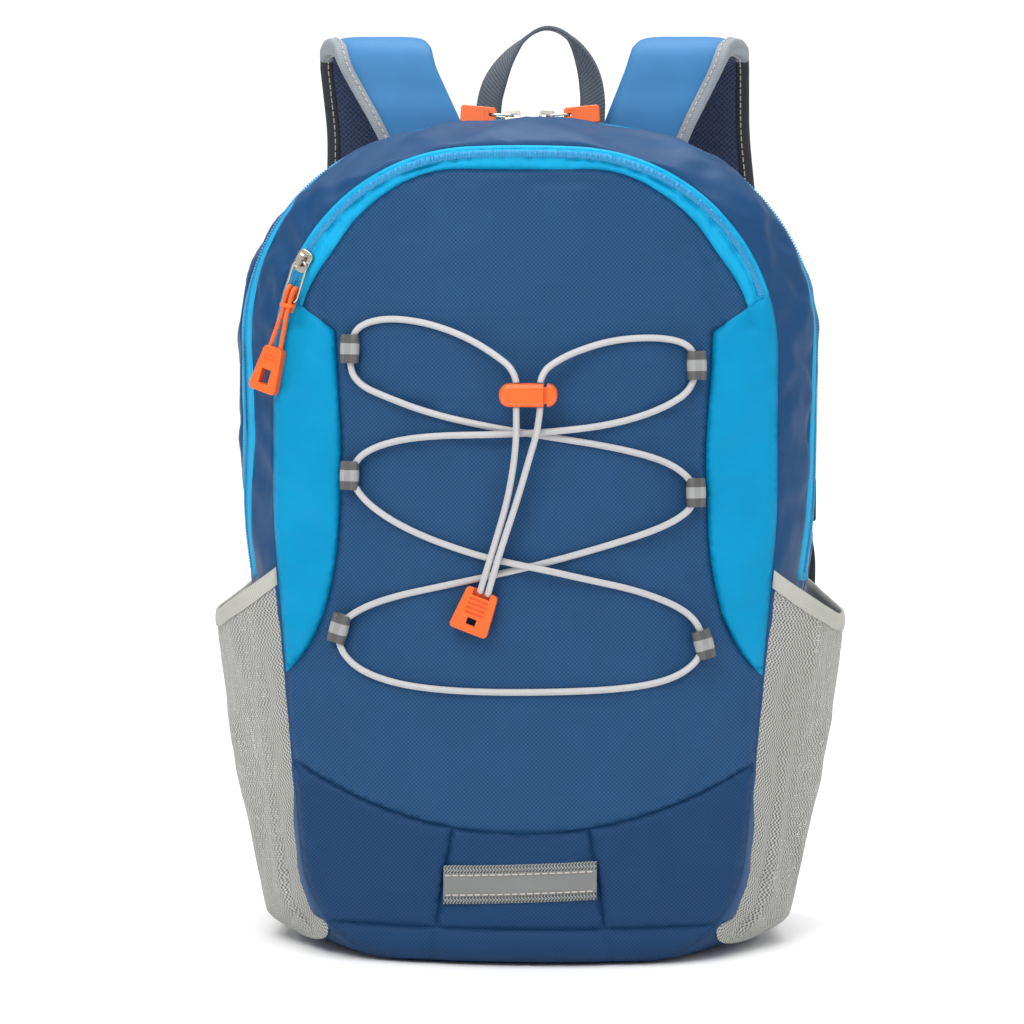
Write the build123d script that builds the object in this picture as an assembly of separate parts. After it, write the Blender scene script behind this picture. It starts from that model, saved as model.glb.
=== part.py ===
from build123d import *
from math import atan2, cos, degrees, pi, radians, sin, sqrt, tan
import os

# Daypack, millimetres. Front faces -Y, wearer's side +Y, +Z up, origin on the floor under the base.

# ---- body ----
HEIGHT = 440.0
FRONT_Y = -80.0
SEAM_Y = -40.0
WIDE_Y = 13.0
BACK_Y = 75.0
BACK_THICK = 8.0
SKIN = 1.5
BASE_TOP = 20.0
CROWN_R = 300.0
LEAN = 4.0
FAR = 400.0
# half width, top, top radius, shoulder radius, foot half width, foot corner radius
SEAM_OUTLINE = (133.0, HEIGHT - 13, 600.0, 110.0, 112.0, 60.0)
WIDE_OUTLINE = (154.0, HEIGHT, 300.0, 115.0, 122.0, 40.0)
BACK_OUTLINE = (140.0, HEIGHT - 12, 300.0, 110.0, 118.0, 35.0)
SIDE_KINK_Z = 230.0
FOOT_TRIM = 0.5

# ---- front panel and zips ----
TAPE_EDGE = 2.0
COIL_EDGE = 7.0
ZIP_BAND = 12.5
ACCENT = [
    (220, 414), (128, 350), (99, 330), (95, 262), (98, 205), (105, 180), (115, 160), (131, 144), (220, 80),
]
CURVED_SEAM = [(-123, 105), (0, 70), (123, 105)]
TRAPEZOID_TOP = 32.0
TRAPEZOID_FOOT = 43.0
WEBBING_HALF = 38.0
WEBBING_Z = (34.5, 54.5)
TAPE_Z = (38.5, 50.5)
MAIN_ZIP_TILT = 7.0
MAIN_ZIP_AT = (0.0, -8.0, 250.0)
MAIN_ZIP_BANDS = (0.0, 8.0, 13.0, 21.0)
MAIN_ZIP_END = 195.0

# ---- mesh pockets: height, half width, front seam, rear seam ----
POCKET = [
    (1, 133, 76, 112), (15, 141, 92, 118), (50, 147, 110, 124), (118, 161, 121, 132), (200, 172, 130, 138),
]
HEM_FRONT = (133.0, 197.0)
HEM_SIDE = (169.0, 173.0)
HEM_HEIGHT = 8.0

# ---- shock cord ----
CORD_D = 3.5
CORD_LIFT = 3.7
LOOP_W, LOOP_H, LOOP_T = 10.5, 15.0, 7.0
LOOP_WALL = 0.9
LOOP_X = 90.5
LOOPS = {
    "left_1": (-LOOP_X, 321, 0), "left_2": (-LOOP_X, 255, 0), "left_3": (-96, 175, 14),
    "right_1": (LOOP_X, 313, 0), "right_2": (LOOP_X, 247, 0), "right_3": (95, 168, -14),
}
LOCK_AT = (4.0, 299.0)
LOCK_LIFT = 14.2
LOCK_W, LOCK_T, LOCK_H = 30.0, 9.0, 12.0
LOCK_HOLE_X = 6.2
HOUSING_W = 23.0
PRESS = 1.6

# Routes: x, z and the centreline's lift above CORD_LIFT, where it goes over another run.
LACING = [
    (-90, 321, 0), (-91, 311, 0), (-85, 302, 0), (-70, 296, 0), (-50, 289, 0), (-24, 283, 0), (12, 277, 0),
    (44, 272, 0), (68, 266, 0), (81, 260, 0), (89, 252, 0), (90, 242, 0), (84, 235, 0), (70, 228, 0),
    (44, 220, 0), (8, 210, 0), (-36, 200, 0), (-66, 193, 0), (-84, 186, 0), (-95, 178, 0), (-97, 168, 0),
    (-91, 158, 0), (-79, 151, 0), (-58, 146, 0), (-24, 144, 0), (22, 144.5, 0), (56, 146, 0), (78, 150, 0),
    (91, 158, 0), (95, 168, 0), (92, 179, 0), (82, 188, 0), (60, 197, 0), (34, 203, 1), (14, 208, 4),
    (-4, 211.5, 4), (-26, 216, 0.8), (-56, 226, 0), (-78, 238, 0), (-89, 250, 0), (-89, 260, 0),
    (-82, 268, 0), (-66, 274, 0), (-44, 277, 0.6), (-16, 278, 4), (16, 279.5, 4), (48, 283, 0.6),
    (74, 291, 0), (90, 302, 0), (90, 313, 0),
]
LEAD_LEFT = [
    (-90, 321, 0), (-89.2, 329, 0), (-82, 335, 0), (-68, 337.5, 0), (-48, 335, 0.6), (-28, 328, 2.5),
    (-12, 318.5, 6), (-3.4, 311.5, 9.4), (-2.2, 305.4, 10.5),
]
LEAD_RIGHT = [
    (90, 313, 0), (89.7, 320, 0), (82, 326, 0), (66, 328, 0), (46, 326.5, 0.6), (28, 321, 3.5),
    (17, 315.5, 7), (11.2, 310.5, 9.6), (10.2, 305.4, 10.5),
]
TAIL_LEFT = [
    (-2.2, 292.6, 10.5), (-2, 281, 9), (-3, 266, 8), (-6.5, 245, 6.8), (-12.5, 224, 6.8), (-17.5, 208, 6.6),
    (-21, 196.5, 3.2),
]
TAIL_RIGHT = [
    (10.2, 292.6, 10.5), (9, 281, 9), (4.5, 266, 8), (-1.5, 245, 7.4), (-8.4, 224, 7.6), (-13.4, 208, 7.3),
    (-17, 195, 3.2),
]
END_AT = (-19.4, 197.0)
END_TILT = 21.0
END_TOP, END_FOOT, END_LEN, END_T = 17.0, 21.0, 23.0, 6.0
END_GAP = 3.0

# ---- zip pulls ----
FRONT_SLIDER = (-115.5, 366.0)
FRONT_SLIDER_GAP = 1.2
TRACK_ANGLE = 62.0
PULL_ANGLE = 17.0
BRIDGE_HOLE = 2.7
RING_L = 23.0
PULL_CORD_FOOT = 47.5
MAIN_SLIDER_X = 9.0
MAIN_SLIDER_Y = 25.5
MAIN_TOP_GAP = 1.0
MAIN_PULL_RISE = 4.5

# ---- straps and haul loop ----
STRAP_T = 10.0
BINDING_W = 8.0
BINDING_EXTRA = 0.8
STRAP_PATH = [(90, 398), (92, 440), (104, 484), (136, 481), (148, 430), (148, 340), (138, 238)]
STRAP_PATH_RADII = [60, 17, 17, 60, 300]
STRAP_APEX_Y = 119.0
STRAP_UP_INNER = [(24, 390), (34, 430), (57, 500)]
STRAP_UP_OUTER = [(72, 390), (84, 430), (114, 500)]
STRAP_DOWN_INNER = [(57, 500), (61, 430), (71, 360), (92, 295), (119, 236)]
STRAP_DOWN_OUTER = [(114, 500), (117, 430), (127, 360), (145, 295), (157, 236)]
LOCK_BAR = 4.0
LADDER_AT = (139.0, 138.5, 224.0)
LADDER_W, LADDER_H, LADDER_T = 36.0, 24.0, 4.5
WEB_W, WEB_T = 24.0, 1.8
WEB_SIDE = [(138.5, 219), (134, 180), (114, 115), (85.6, 40)]
WEB_OUTLINE = [(139, 226), (145, 190), (144, 130), (128, 36)]
ANCHOR = [(96, 22), (136, 62), (122, 22)]
HAUL_Y = 81.0
HAUL_Z = 428.0
HAUL_TOP = 492.0
HAUL_HALF = 33.0
HAUL_T = 5.0
HAUL_W = 14.0


def outline(shape, inset=0.0):
    """Arched face in the XZ plane, its foot FOOT_TRIM below the floor: sides lean, shoulders are round."""
    half, top, top_r, shoulder_r, foot, foot_r = shape
    centre_x = half - shoulder_r
    top_centre = top - top_r
    centre_z = top_centre + sqrt((top_r - shoulder_r) ** 2 - centre_x**2)
    angle = atan2(centre_z - top_centre, centre_x)
    half = half - inset
    foot = foot - inset
    shoulder = shoulder_r - inset
    top = top - inset
    join = (centre_x + shoulder * cos(angle), centre_z + shoulder * sin(angle))
    middle = (centre_x + shoulder * cos(angle / 2), centre_z + shoulder * sin(angle / 2))
    foot_z = inset - FOOT_TRIM
    low = [(-half, centre_z), (-half, SIDE_KINK_Z), (-foot, foot_z)]
    low += [(-x, z) for x, z in reversed(low)]
    corner = max(foot_r - inset, 1.0)
    edges = [
        FilletPolyline(*low, radius=[300, corner, corner, 300]),
        ThreePointArc((half, centre_z), middle, join),
        ThreePointArc(join, (0, top), (-join[0], join[1])),
        ThreePointArc((-join[0], join[1]), (-middle[0], middle[1]), (-half, centre_z)),
    ]
    return make_face(edges)


def at_y(face, y):
    """Stands a flat face up in the XZ plane at depth y."""
    return Pos(0, y, 0) * (Plane.XZ * face)


def slab(face, y0=-FAR, y1=FAR):
    """Runs an XZ face straight through the object from y0 to y1."""
    return extrude(at_y(face, y0), amount=y1 - y0, dir=(0, 1, 0))


def polygon(points):
    return make_face(Polyline(*points, close=True))


def above(z):
    return Pos(0, 0, z + FAR) * Box(4 * FAR, 4 * FAR, 2 * FAR)


def crown(r):
    """Upright cylinder, leaning back, whose front side is the bag's crowned front."""
    return Pos(0, FRONT_Y + CROWN_R, BASE_TOP) * Rot(-LEAN, 0, 0) * Cylinder(r, 3 * FAR)


def front_y(x, z):
    """Depth of the crowned front at x and z."""
    reach = sqrt(CROWN_R**2 - x**2) / cos(radians(LEAN))
    return FRONT_Y + CROWN_R + (z - BASE_TOP) * tan(radians(LEAN)) - reach


def bag_volume(inset=0.0):
    """Everything inside the gussets, before the crowned front is cut."""
    seam, wide, back = (outline(shape, inset) for shape in (SEAM_OUTLINE, WIDE_OUTLINE, BACK_OUTLINE))
    nose = slab(seam, FRONT_Y - 30, SEAM_Y)
    front_half = loft([at_y(seam, SEAM_Y), at_y(wide, WIDE_Y)], ruled=True)
    rear_half = loft([at_y(wide, WIDE_Y), at_y(back, BACK_Y)], ruled=True)
    return nose + front_half + rear_half


def mirrored(shape):
    return mirror(shape, about=Plane.YZ)


def save(name, shape):
    """Writes one node, as one body or as a group of separate bodies."""
    shape.label = name
    export_step(shape, f"parts/{name}.step")


def save_pair(name, shape):
    """Writes a right-hand piece and its mirror image."""
    save(name + "_right", shape)
    save(name + "_left", mirrored(shape))


def tube(points, diameter):
    """Round tube along straight runs joined by tangent arcs; returns it with the arcs' radii."""
    vectors = [Vector(*p) for p in points]
    radii = []
    for before, corner, after in zip(vectors, vectors[1:], vectors[2:]):
        turn = radians((corner - before).get_angle(after - corner))
        shorter = min((corner - before).length, (after - corner).length)
        radii.append(0.45 * shorter / tan(turn / 2))
    path = FilletPolyline(*points, radius=radii)
    section = Plane(origin=path @ 0, z_dir=path % 0) * Circle(diameter / 2)
    return sweep(section, path=path), radii, path


def cord(name, route):
    points = [(x, front_y(x, z) - CORD_LIFT - lift, z) for x, z, lift in route]
    shape, radii, path = tube(points, CORD_D)
    ideal = pi * CORD_D**2 / 4 * path.length
    print(f"{name}: length {path.length:.0f} mm, least radius {min(radii):.1f} mm, "
          f"volume / section x length {shape.volume / ideal:.3f}, radii {[round(r) for r in radii]}")
    save(name, shape)


def make_body():
    outer = bag_volume() & crown(CROWN_R) & above(0)
    inner = bag_volume(SKIN + FOOT_TRIM) & crown(CROWN_R - SKIN)
    base = (outer - inner) - above(BASE_TOP)
    save("base_panel", base)
    skin = (outer - crown(CROWN_R - SKIN)) & above(BASE_TOP)
    make_front(skin)
    gusset = ((outer & crown(CROWN_R - SKIN)) - inner) & above(BASE_TOP)
    make_gussets(gusset)
    save("back_panel", slab(outline(BACK_OUTLINE), BACK_Y, BACK_Y + BACK_THICK) & above(0))
    divider = slab(outline(SEAM_OUTLINE, 5), SEAM_Y + 12, SEAM_Y + 13)
    save("front_pocket_divider", divider & inner & above(BASE_TOP + 1))
    return outer


def make_front(skin):
    """Cuts the crowned front skin along its seams."""
    accent = slab(polygon(ACCENT))
    save_pair("side_accent", skin & accent)
    skin = skin - accent - mirrored(accent)
    zip_zone = above(300)
    steps = [slab(outline(SEAM_OUTLINE, inset)) for inset in (TAPE_EDGE, COIL_EDGE, ZIP_BAND)]
    upper = skin & zip_zone
    save("front_zip_tape_outer", upper - steps[0])
    save("front_zip_coil", (upper & steps[0]) - steps[1])
    save("front_zip_tape_inner", (upper & steps[1]) - steps[2])
    seam = make_face([
        ThreePointArc(*CURVED_SEAM),
        Polyline(CURVED_SEAM[2], (FAR, 105), (FAR, 0), (-FAR, 0), (-FAR, 105), CURVED_SEAM[0]),
    ])
    lower_zone = slab(seam)
    main = ((upper & steps[2]) + (skin - zip_zone)) - lower_zone
    save("front_panel", main)
    lower = skin & lower_zone
    corners = [(-TRAPEZOID_TOP, 120), (TRAPEZOID_TOP, 120), (TRAPEZOID_FOOT, 0), (-TRAPEZOID_FOOT, 0)]
    trapezoid = slab(polygon(corners))
    save("lower_center_panel", lower & trapezoid)
    right = Pos(FAR, 0, 0) * Box(2 * FAR, 2 * FAR, 2 * FAR)
    save_pair("lower_panel", (lower - trapezoid) & right)


def make_webbing():
    """Reflective webbing on the trapezoid panel and the silver tape sewn on it."""
    def strip(zs, outside, thick):
        box = Pos(0, FRONT_Y, (zs[0] + zs[1]) / 2) * Box(2 * WEBBING_HALF, 60, zs[1] - zs[0])
        return box & (crown(CROWN_R + outside + thick) - crown(CROWN_R + outside))
    save("reflective_webbing", strip(WEBBING_Z, 0, 1.2))
    save("reflective_tape", strip(TAPE_Z, 1.2, 0.5))


def main_zip_slab(y0, y1):
    """Slice of the leaning main zip plane, above the zip's ends."""
    at = Pos(*MAIN_ZIP_AT) * Rot(-MAIN_ZIP_TILT, 0, 0)
    low = MAIN_ZIP_END - MAIN_ZIP_AT[2]
    return at * Pos(0, (y0 + y1) / 2, low + FAR) * Box(4 * FAR, y1 - y0, 2 * FAR)


def make_gussets(gusset):
    names = ["main_zip_tape_front", "main_zip_coil", "main_zip_tape_rear"]
    for name, y0, y1 in zip(names, MAIN_ZIP_BANDS, MAIN_ZIP_BANDS[1:]):
        save(name, gusset & main_zip_slab(y0, y1))
    rest = gusset - main_zip_slab(MAIN_ZIP_BANDS[0], MAIN_ZIP_BANDS[-1])
    middle = (MAIN_ZIP_BANDS[0] + MAIN_ZIP_BANDS[-1]) / 2
    at = Pos(*MAIN_ZIP_AT) * Rot(-MAIN_ZIP_TILT, 0, 0)
    behind = at * Pos(0, middle + FAR, 0) * Box(4 * FAR, 2 * FAR, 4 * FAR)
    save("rear_gusset", rest & behind)
    save("front_gusset", rest - behind)


def pocket_solid(inset, low):
    """Bulging side pocket on the right: stacked D-shaped sections that run into the bag's side."""
    sections = []
    for z, half, front, rear in POCKET:
        seams = (front - inset, SEAM_Y - 4 + inset), (rear - inset, 66 - inset)
        arc = ThreePointArc(seams[0], (half - inset, WIDE_Y), seams[1])
        face = make_face([arc, Line(arc @ 1, arc @ 0)])
        sections.append(Pos(0, 0, max(z, low)) * face)
    return loft(sections, ruled=True)


def make_pockets(body):
    wall = pocket_solid(0, 1) - pocket_solid(SKIN, 2.5) - body
    band = pocket_solid(-0.5, 1) - pocket_solid(SKIN + 0.5, 2.5) - body
    slope = (HEM_SIDE[1] - HEM_FRONT[1]) / (HEM_SIDE[0] - HEM_FRONT[0])

    def under(drop):
        z_far = HEM_FRONT[1] + slope * (240 - HEM_FRONT[0]) - drop
        z_near = HEM_FRONT[1] + slope * (60 - HEM_FRONT[0]) - drop
        return slab(polygon([(60, -50), (240, -50), (240, z_far), (60, z_near)]))

    save_pair("pocket_hem", largest((band & under(0)) - under(HEM_HEIGHT)))
    save_pair("mesh_pocket", largest(wall & under(HEM_HEIGHT)))


def largest(shape):
    """The main solid of a cut, without the crumbs that the cut leaves."""
    return max(shape.solids(), key=lambda solid: solid.volume)


def make_cord_loops():
    """Folded ribbon round the cord, sewn into the accent panel's seam."""
    for name, (x, z, tilt) in LOOPS.items():
        outer = RectangleRounded(LOOP_W, LOOP_T, LOOP_T / 2 - 0.05)
        hole_t = LOOP_T - 2 * LOOP_WALL
        inner = RectangleRounded(LOOP_W - 2 * LOOP_WALL, hole_t, hole_t / 2 - 0.05)
        ring = extrude(outer - inner, LOOP_H / 2, both=True)
        slope = degrees(atan2(x, sqrt(CROWN_R**2 - x**2)))
        y = front_y(x, z) - CORD_LIFT - 0.4
        save(f"cord_loop_{name}", Pos(x, y, z) * Rot(0, 0, slope) * Rot(-LEAN, 0, 0) * Rot(0, tilt, 0) * ring)


def make_cord_lock():
    x, z = LOCK_AT
    y = front_y(0, z) - LOCK_LIFT
    at = Pos(x, y, z)
    shell = fillet(Box(LOCK_W, LOCK_T, LOCK_H).edges().filter_by(Axis.Y), 5.4)
    shell = fillet(shell.faces().sort_by(Axis.Y)[0].edges(), 2.8)
    split = -LOCK_W / 2 + HOUSING_W
    keep = Pos(split - FAR / 2, 0, 0) * Box(FAR, FAR, FAR)
    holes = Pos(LOCK_HOLE_X, 0, 0) * Cylinder(2.2, 40) + Pos(-LOCK_HOLE_X, 0, 0) * Cylinder(2.2, 40)
    cavity = Pos(split - 10, 0, 0) * Box(20.4, 6.4, 9.4)
    save("cord_lock_body", at * ((shell & keep) - cavity - holes))
    cap_keep = Pos(split + PRESS + 0.3 + FAR / 2, 0, 0) * Box(FAR, FAR, FAR)
    shank_low = -LOCK_W / 2 + 8.5
    shank_high = split + PRESS + 0.3
    shank = Pos((shank_low + shank_high) / 2, 0, 0) * Box(shank_high - shank_low, 5.6, 8.6)
    slots = Pos(LOCK_HOLE_X - 1.5, 0, 0) * Box(7.6, 3.4, 40) + Pos(-LOCK_HOLE_X + 5, 0, 0) * Box(3, 3, 40)
    save("cord_lock_button", at * ((shell & cap_keep) + shank - slots))
    coil_r = 1.7
    helix = Helix(pitch=1.1, height=2.6, radius=coil_r)
    wire = sweep(Plane(origin=helix @ 0, z_dir=helix % 0) * Circle(0.25), path=helix)
    save("cord_lock_spring", at * Pos(shank_low - 3.1, 0, 0) * Rot(0, 90, 0) * wire)


def make_cord_end():
    x, z = END_AT
    face = polygon([(-END_TOP / 2, 0), (END_TOP / 2, 0), (END_FOOT / 2, -END_LEN), (-END_FOOT / 2, -END_LEN)])
    clip = extrude(Plane.XZ * face, END_T / 2, both=True)
    clip = fillet(clip.edges().filter_by(Axis.Y), 2.2)
    clip = fillet(clip.faces().sort_by(Axis.Y)[0].edges(), 0.8)
    window = Pos(0, 0, -END_LEN + 6) * Box(5, 3 * END_T, 3.6)
    ribs = [Pos(0, -END_T / 2, -5.5 - 2.4 * i) * Box(10, 1.6, 1.2) for i in range(4)]
    mouth = Pos(0, -1.2, 0) * Box(9.5, 5, 7)
    for cut in [window, mouth] + ribs:
        clip = clip - cut
    y = front_y(x, z) - END_T / 2 - END_GAP
    save("cord_end_clip", Pos(x, y, z) * Rot(-LEAN, 0, 0) * Rot(0, END_TILT, 0) * clip)


def slider(length=12.0, width=9.0):
    """Zip slider lying on a zip that runs along X; its bridge stands towards +Z."""
    plate = extrude(RectangleRounded(length, width, 3.0), 1.6)
    plate = fillet(plate.faces().sort_by(Axis.Z)[-1].edges(), 0.5)
    bridge = Box(8.4, 2.2, 4.2) - Pos(0, 0, -0.9) * Box(5.6, 3, 2.4)
    bridge = fillet(bridge.edges().filter_by(Axis.Y).sort_by(Axis.Z)[-2:], 1.4)
    return plate + Pos(0, 0, 1.6 + 2.0) * bridge


def wire_ring(length, width, wire):
    """Oval wire ring hanging down -Z from the origin, flat in XZ."""
    radius = width / 2
    straight = length / 2 - radius
    points = [(-radius, -straight), (-radius, straight), (radius, straight), (radius, -straight)]
    path = Wire([
        Line(points[0], points[1]), ThreePointArc(points[1], (0, straight + radius), points[2]),
        Line(points[2], points[3]), ThreePointArc(points[3], (0, -straight - radius), points[0]),
    ])
    path = Plane.XZ * path
    section = Plane(origin=path @ 0, z_dir=path % 0) * Circle(wire / 2)
    return Pos(0, 0, -length / 2) * sweep(section, path=path)


def grip(top, foot, length, thick, window=True):
    """Moulded zip pull: a plate that widens to its foot, often with a window, hanging down -Z."""
    face = polygon([(-top / 2, 0), (top / 2, 0), (foot / 2, -length), (-foot / 2, -length)])
    body = extrude(Plane.XZ * face, thick / 2, both=True)
    body = fillet(body.edges().filter_by(Axis.Y), min(top, foot) * 0.22)
    body = fillet(body.faces().sort_by(Axis.Y)[0].edges(), 0.7)
    if window:
        body = body - Pos(0, 0, -length * 0.66) * Box(foot * 0.34, 3 * thick, length * 0.32)
    ribs = [Pos(0, -thick / 2, -length * 0.2 - 2 * i) * Box(top * 0.6, 0.7, 0.9) for i in range(2)]
    for rib in ribs:
        body = body - rib
    return body


def make_front_pull():
    """Slider on the coil; ring, knotted cord and grip hang from its bridge."""
    x, z = FRONT_SLIDER
    slope = degrees(atan2(x, sqrt(CROWN_R**2 - x**2)))
    tangent = Pos(x, front_y(x, z), z) * Rot(0, 0, slope) * Rot(-LEAN, 0, 0)
    on_track = Pos(0, -FRONT_SLIDER_GAP, 0) * Rot(0, -TRACK_ANGLE, 0) * Rot(90, 0, 0)
    save("front_zip_slider", tangent * on_track * slider())
    hang = tangent * Pos(0, -FRONT_SLIDER_GAP - BRIDGE_HOLE, 0) * Rot(0, PULL_ANGLE, 0)
    save("front_pull_ring", hang * wire_ring(RING_L, 8, 1.5))
    knot = Pos(0, 0, -RING_L + 4) * fillet(Box(7, 5, 14).edges(), 1.8)
    knot = knot - Pos(0, 0, -RING_L + 0.8) * Box(20, 2.5, 6.4)
    middle = (PULL_CORD_FOOT + RING_L + 2) / 2
    length = PULL_CORD_FOOT - RING_L - 2
    strands = [Pos(side * 2.6, 0, -middle) * Rot(0, -side * 3, 0) * Cylinder(1.3, length) for side in (-1, 1)]
    save("front_pull_cord", hang * (knot + strands[0] + strands[1]))
    save("front_pull_grip", hang * Pos(0, 0, -PULL_CORD_FOOT - 0.3) * grip(11, 17, 24.5, 5))


def main_zip_top():
    """Height of the gusset's crest where the main zip crosses the middle."""
    share = (MAIN_SLIDER_Y - WIDE_Y) / (BACK_Y - WIDE_Y)
    return HEIGHT + share * (BACK_OUTLINE[1] - HEIGHT)


def make_main_pulls():
    """Right slider, ring and upright grip lying out along the top of the zip; the left set mirrors them."""
    sag = WIDE_OUTLINE[2] - sqrt(WIDE_OUTLINE[2] ** 2 - MAIN_SLIDER_X**2)
    z = main_zip_top() - sag + MAIN_TOP_GAP
    slope = degrees(MAIN_SLIDER_X / WIDE_OUTLINE[2])
    seat = Pos(MAIN_SLIDER_X, MAIN_SLIDER_Y, z) * Rot(0, slope, 0) * Rot(-MAIN_ZIP_TILT - 4, 0, 0)
    save_pair("main_slider", seat * slider())
    held = seat * Pos(0, 0, BRIDGE_HOLE) * Rot(0, -90 - MAIN_PULL_RISE, 0)
    save_pair("main_pull_ring", held * Rot(0, 0, 90) * wire_ring(12, 6.4, 1.3))
    ring_hole = Pos(0, 0, -2.35) * Box(1.8, 10, 2.9)
    pull = grip(8, 10, 19, 4.5, window=False) - ring_hole
    save_pair("main_pull_grip", held * Pos(0, 0, -9.2) * pull)


def strap_band(thick):
    """Wide band that follows the strap's side view, before its edges are cut."""
    path = FilletPolyline(*[(0, y, z) for y, z in STRAP_PATH], radius=STRAP_PATH_RADII)
    section = Plane(origin=path @ 0, x_dir=(1, 0, 0), z_dir=path % 0) * Rectangle(500, thick)
    return sweep(section, path=path)


def strap_area(inner, outer):
    return slab(polygon(inner + outer[::-1]))


def moved_in(points, step):
    return [(x - step, z) for x, z in points]


def make_straps():
    front = Pos(0, STRAP_APEX_Y - FAR, 0) * Box(4 * FAR, 2 * FAR, 4 * FAR)

    def strap(thick, up, down):
        band = strap_band(thick) - Pos(-FAR, 0, 0) * Box(2 * FAR, 4 * FAR, 4 * FAR)
        rising = (band & front) & strap_area(*up)
        falling = (band - front) & strap_area(*down)
        return rising + falling

    up_edge = moved_in(STRAP_UP_OUTER, BINDING_W)
    down_edge = moved_in(STRAP_DOWN_OUTER, BINDING_W)
    pad = strap(STRAP_T, (STRAP_UP_INNER, up_edge), (STRAP_DOWN_INNER, down_edge))
    binding = strap(STRAP_T + 2 * BINDING_EXTRA, (up_edge, STRAP_UP_OUTER), (down_edge, STRAP_DOWN_OUTER))
    save_pair("shoulder_strap", pad)
    save_pair("strap_binding", binding)
    frame = Box(LADDER_W, LADDER_T, LADDER_H)
    for dz in (-6.2, 4.6):
        frame = frame - Pos(0, 0, dz) * Box(LADDER_W - 2 * LOCK_BAR, 3 * LADDER_T, 7.0)
    frame = fillet(frame.edges().filter_by(Axis.Y), 1.2)
    save_pair("ladder_lock", Pos(*LADDER_AT) * frame)


def thick_line(points, radius, width):
    """Band of even width along a bent line, as a flat face."""
    path = FilletPolyline(*points, radius=radius)
    return trace(path, width)


def make_lower_webbing():
    """Lower webbing from the ladder lock, bowed outwards, to its anchor at the base corner."""
    profile = extrude(Plane.YZ * thick_line(WEB_SIDE, 80, WEB_T), FAR)
    front = slab(thick_line(WEB_OUTLINE, 60, WEB_W))
    clear_of_lock = Pos(0, 0, -FAR + LADDER_AT[2] - LADDER_H / 2 - 0.4) * Box(4 * FAR, 4 * FAR, 2 * FAR)
    save_pair("strap_webbing", largest((profile & front) & clear_of_lock))
    save_pair("webbing_anchor", slab(polygon(ANCHOR), BACK_Y + BACK_THICK, BACK_Y + BACK_THICK + 5))


def make_haul_loop():
    """Carry loop whose feet are rounded about the line that it folds on."""
    straight = HAUL_TOP - HAUL_HALF

    def arch(half):
        return make_face([
            Line((-half, HAUL_Z), (-half, straight)),
            ThreePointArc((-half, straight), (0, straight + half), (half, straight)),
            Polyline((half, straight), (half, HAUL_Z), (-half, HAUL_Z)),
        ])

    foot_r = HAUL_W / 2
    hinge_z = HAUL_Z + foot_r
    ring = arch(HAUL_HALF) - arch(HAUL_HALF - HAUL_T)
    loop = slab(ring, HAUL_Y - foot_r, HAUL_Y + foot_r)
    round_feet = Pos(0, HAUL_Y, hinge_z) * Rot(0, 90, 0) * Cylinder(foot_r, 4 * HAUL_HALF)
    save("haul_loop", (loop & above(hinge_z)) + (loop & round_feet))


def main():
    os.makedirs("parts", exist_ok=True)
    body = make_body()
    make_webbing()
    make_pockets(body)
    make_cord_loops()
    cord("bungee_lacing", LACING)
    cord("bungee_lead_left", LEAD_LEFT)
    cord("bungee_lead_right", LEAD_RIGHT)
    cord("bungee_tail_left", TAIL_LEFT)
    cord("bungee_tail_right", TAIL_RIGHT)
    make_cord_lock()
    make_cord_end()
    make_front_pull()
    make_main_pulls()
    make_straps()
    make_lower_webbing()
    make_haul_loop()


main()
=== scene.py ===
import bmesh
import bpy
import math
import numpy as np
from mathutils import Matrix, Vector, geometry, noise


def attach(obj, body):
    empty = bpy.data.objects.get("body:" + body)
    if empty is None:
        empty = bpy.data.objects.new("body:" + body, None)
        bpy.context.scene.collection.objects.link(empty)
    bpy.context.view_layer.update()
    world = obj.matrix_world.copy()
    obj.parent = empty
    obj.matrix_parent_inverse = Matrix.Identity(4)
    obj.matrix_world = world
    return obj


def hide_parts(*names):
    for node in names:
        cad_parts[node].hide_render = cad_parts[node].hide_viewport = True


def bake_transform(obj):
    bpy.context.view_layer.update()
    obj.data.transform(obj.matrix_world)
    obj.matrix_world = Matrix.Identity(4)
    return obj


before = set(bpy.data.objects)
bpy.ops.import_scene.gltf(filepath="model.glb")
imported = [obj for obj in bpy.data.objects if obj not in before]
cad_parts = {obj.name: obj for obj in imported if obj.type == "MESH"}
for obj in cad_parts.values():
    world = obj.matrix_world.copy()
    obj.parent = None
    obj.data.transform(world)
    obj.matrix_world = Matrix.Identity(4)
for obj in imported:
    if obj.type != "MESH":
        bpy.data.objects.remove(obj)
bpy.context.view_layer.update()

# Daypack, worked in millimetres and written in metres. Front -Y, wearer's side +Y, +Z up.
MM = 0.001

# ---- sizes that the CAD part also uses ----
HEIGHT, FRONT_Y, WIDE_Y, BACK_Y, BACK_THICK = 440.0, -80.0, 13.0, 75.0, 8.0
BASE_TOP, CROWN_R, LEAN, SIDE_KINK_Z = 20.0, 300.0, 4.0, 230.0
BASE_ROUND_Z, BASE_ROUND = 14.0, 11.0
SEAM_OUTLINE = (133.0, HEIGHT - 13, 600.0, 110.0, 112.0, 60.0)
WIDE_OUTLINE = (154.0, HEIGHT, 300.0, 115.0, 126.0, 22.0)
BACK_OUTLINE = (140.0, HEIGHT - 12, 300.0, 110.0, 118.0, 35.0)
TAPE_EDGE, COIL_EDGE, ZIP_BAND, ZIP_FOOT = 2.0, 7.0, 12.5, 300.0
ACCENT = [
    (220, 414), (128, 350), (99, 330), (95, 262), (98, 205), (105, 180), (115, 160), (131, 144), (220, 80),
]
ACCENT_RADII = [60, 3, 300, 200, 60, 60, 40]
CORNER_RISE, CORNER_HOLLOW = 2.4, 3.0
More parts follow.
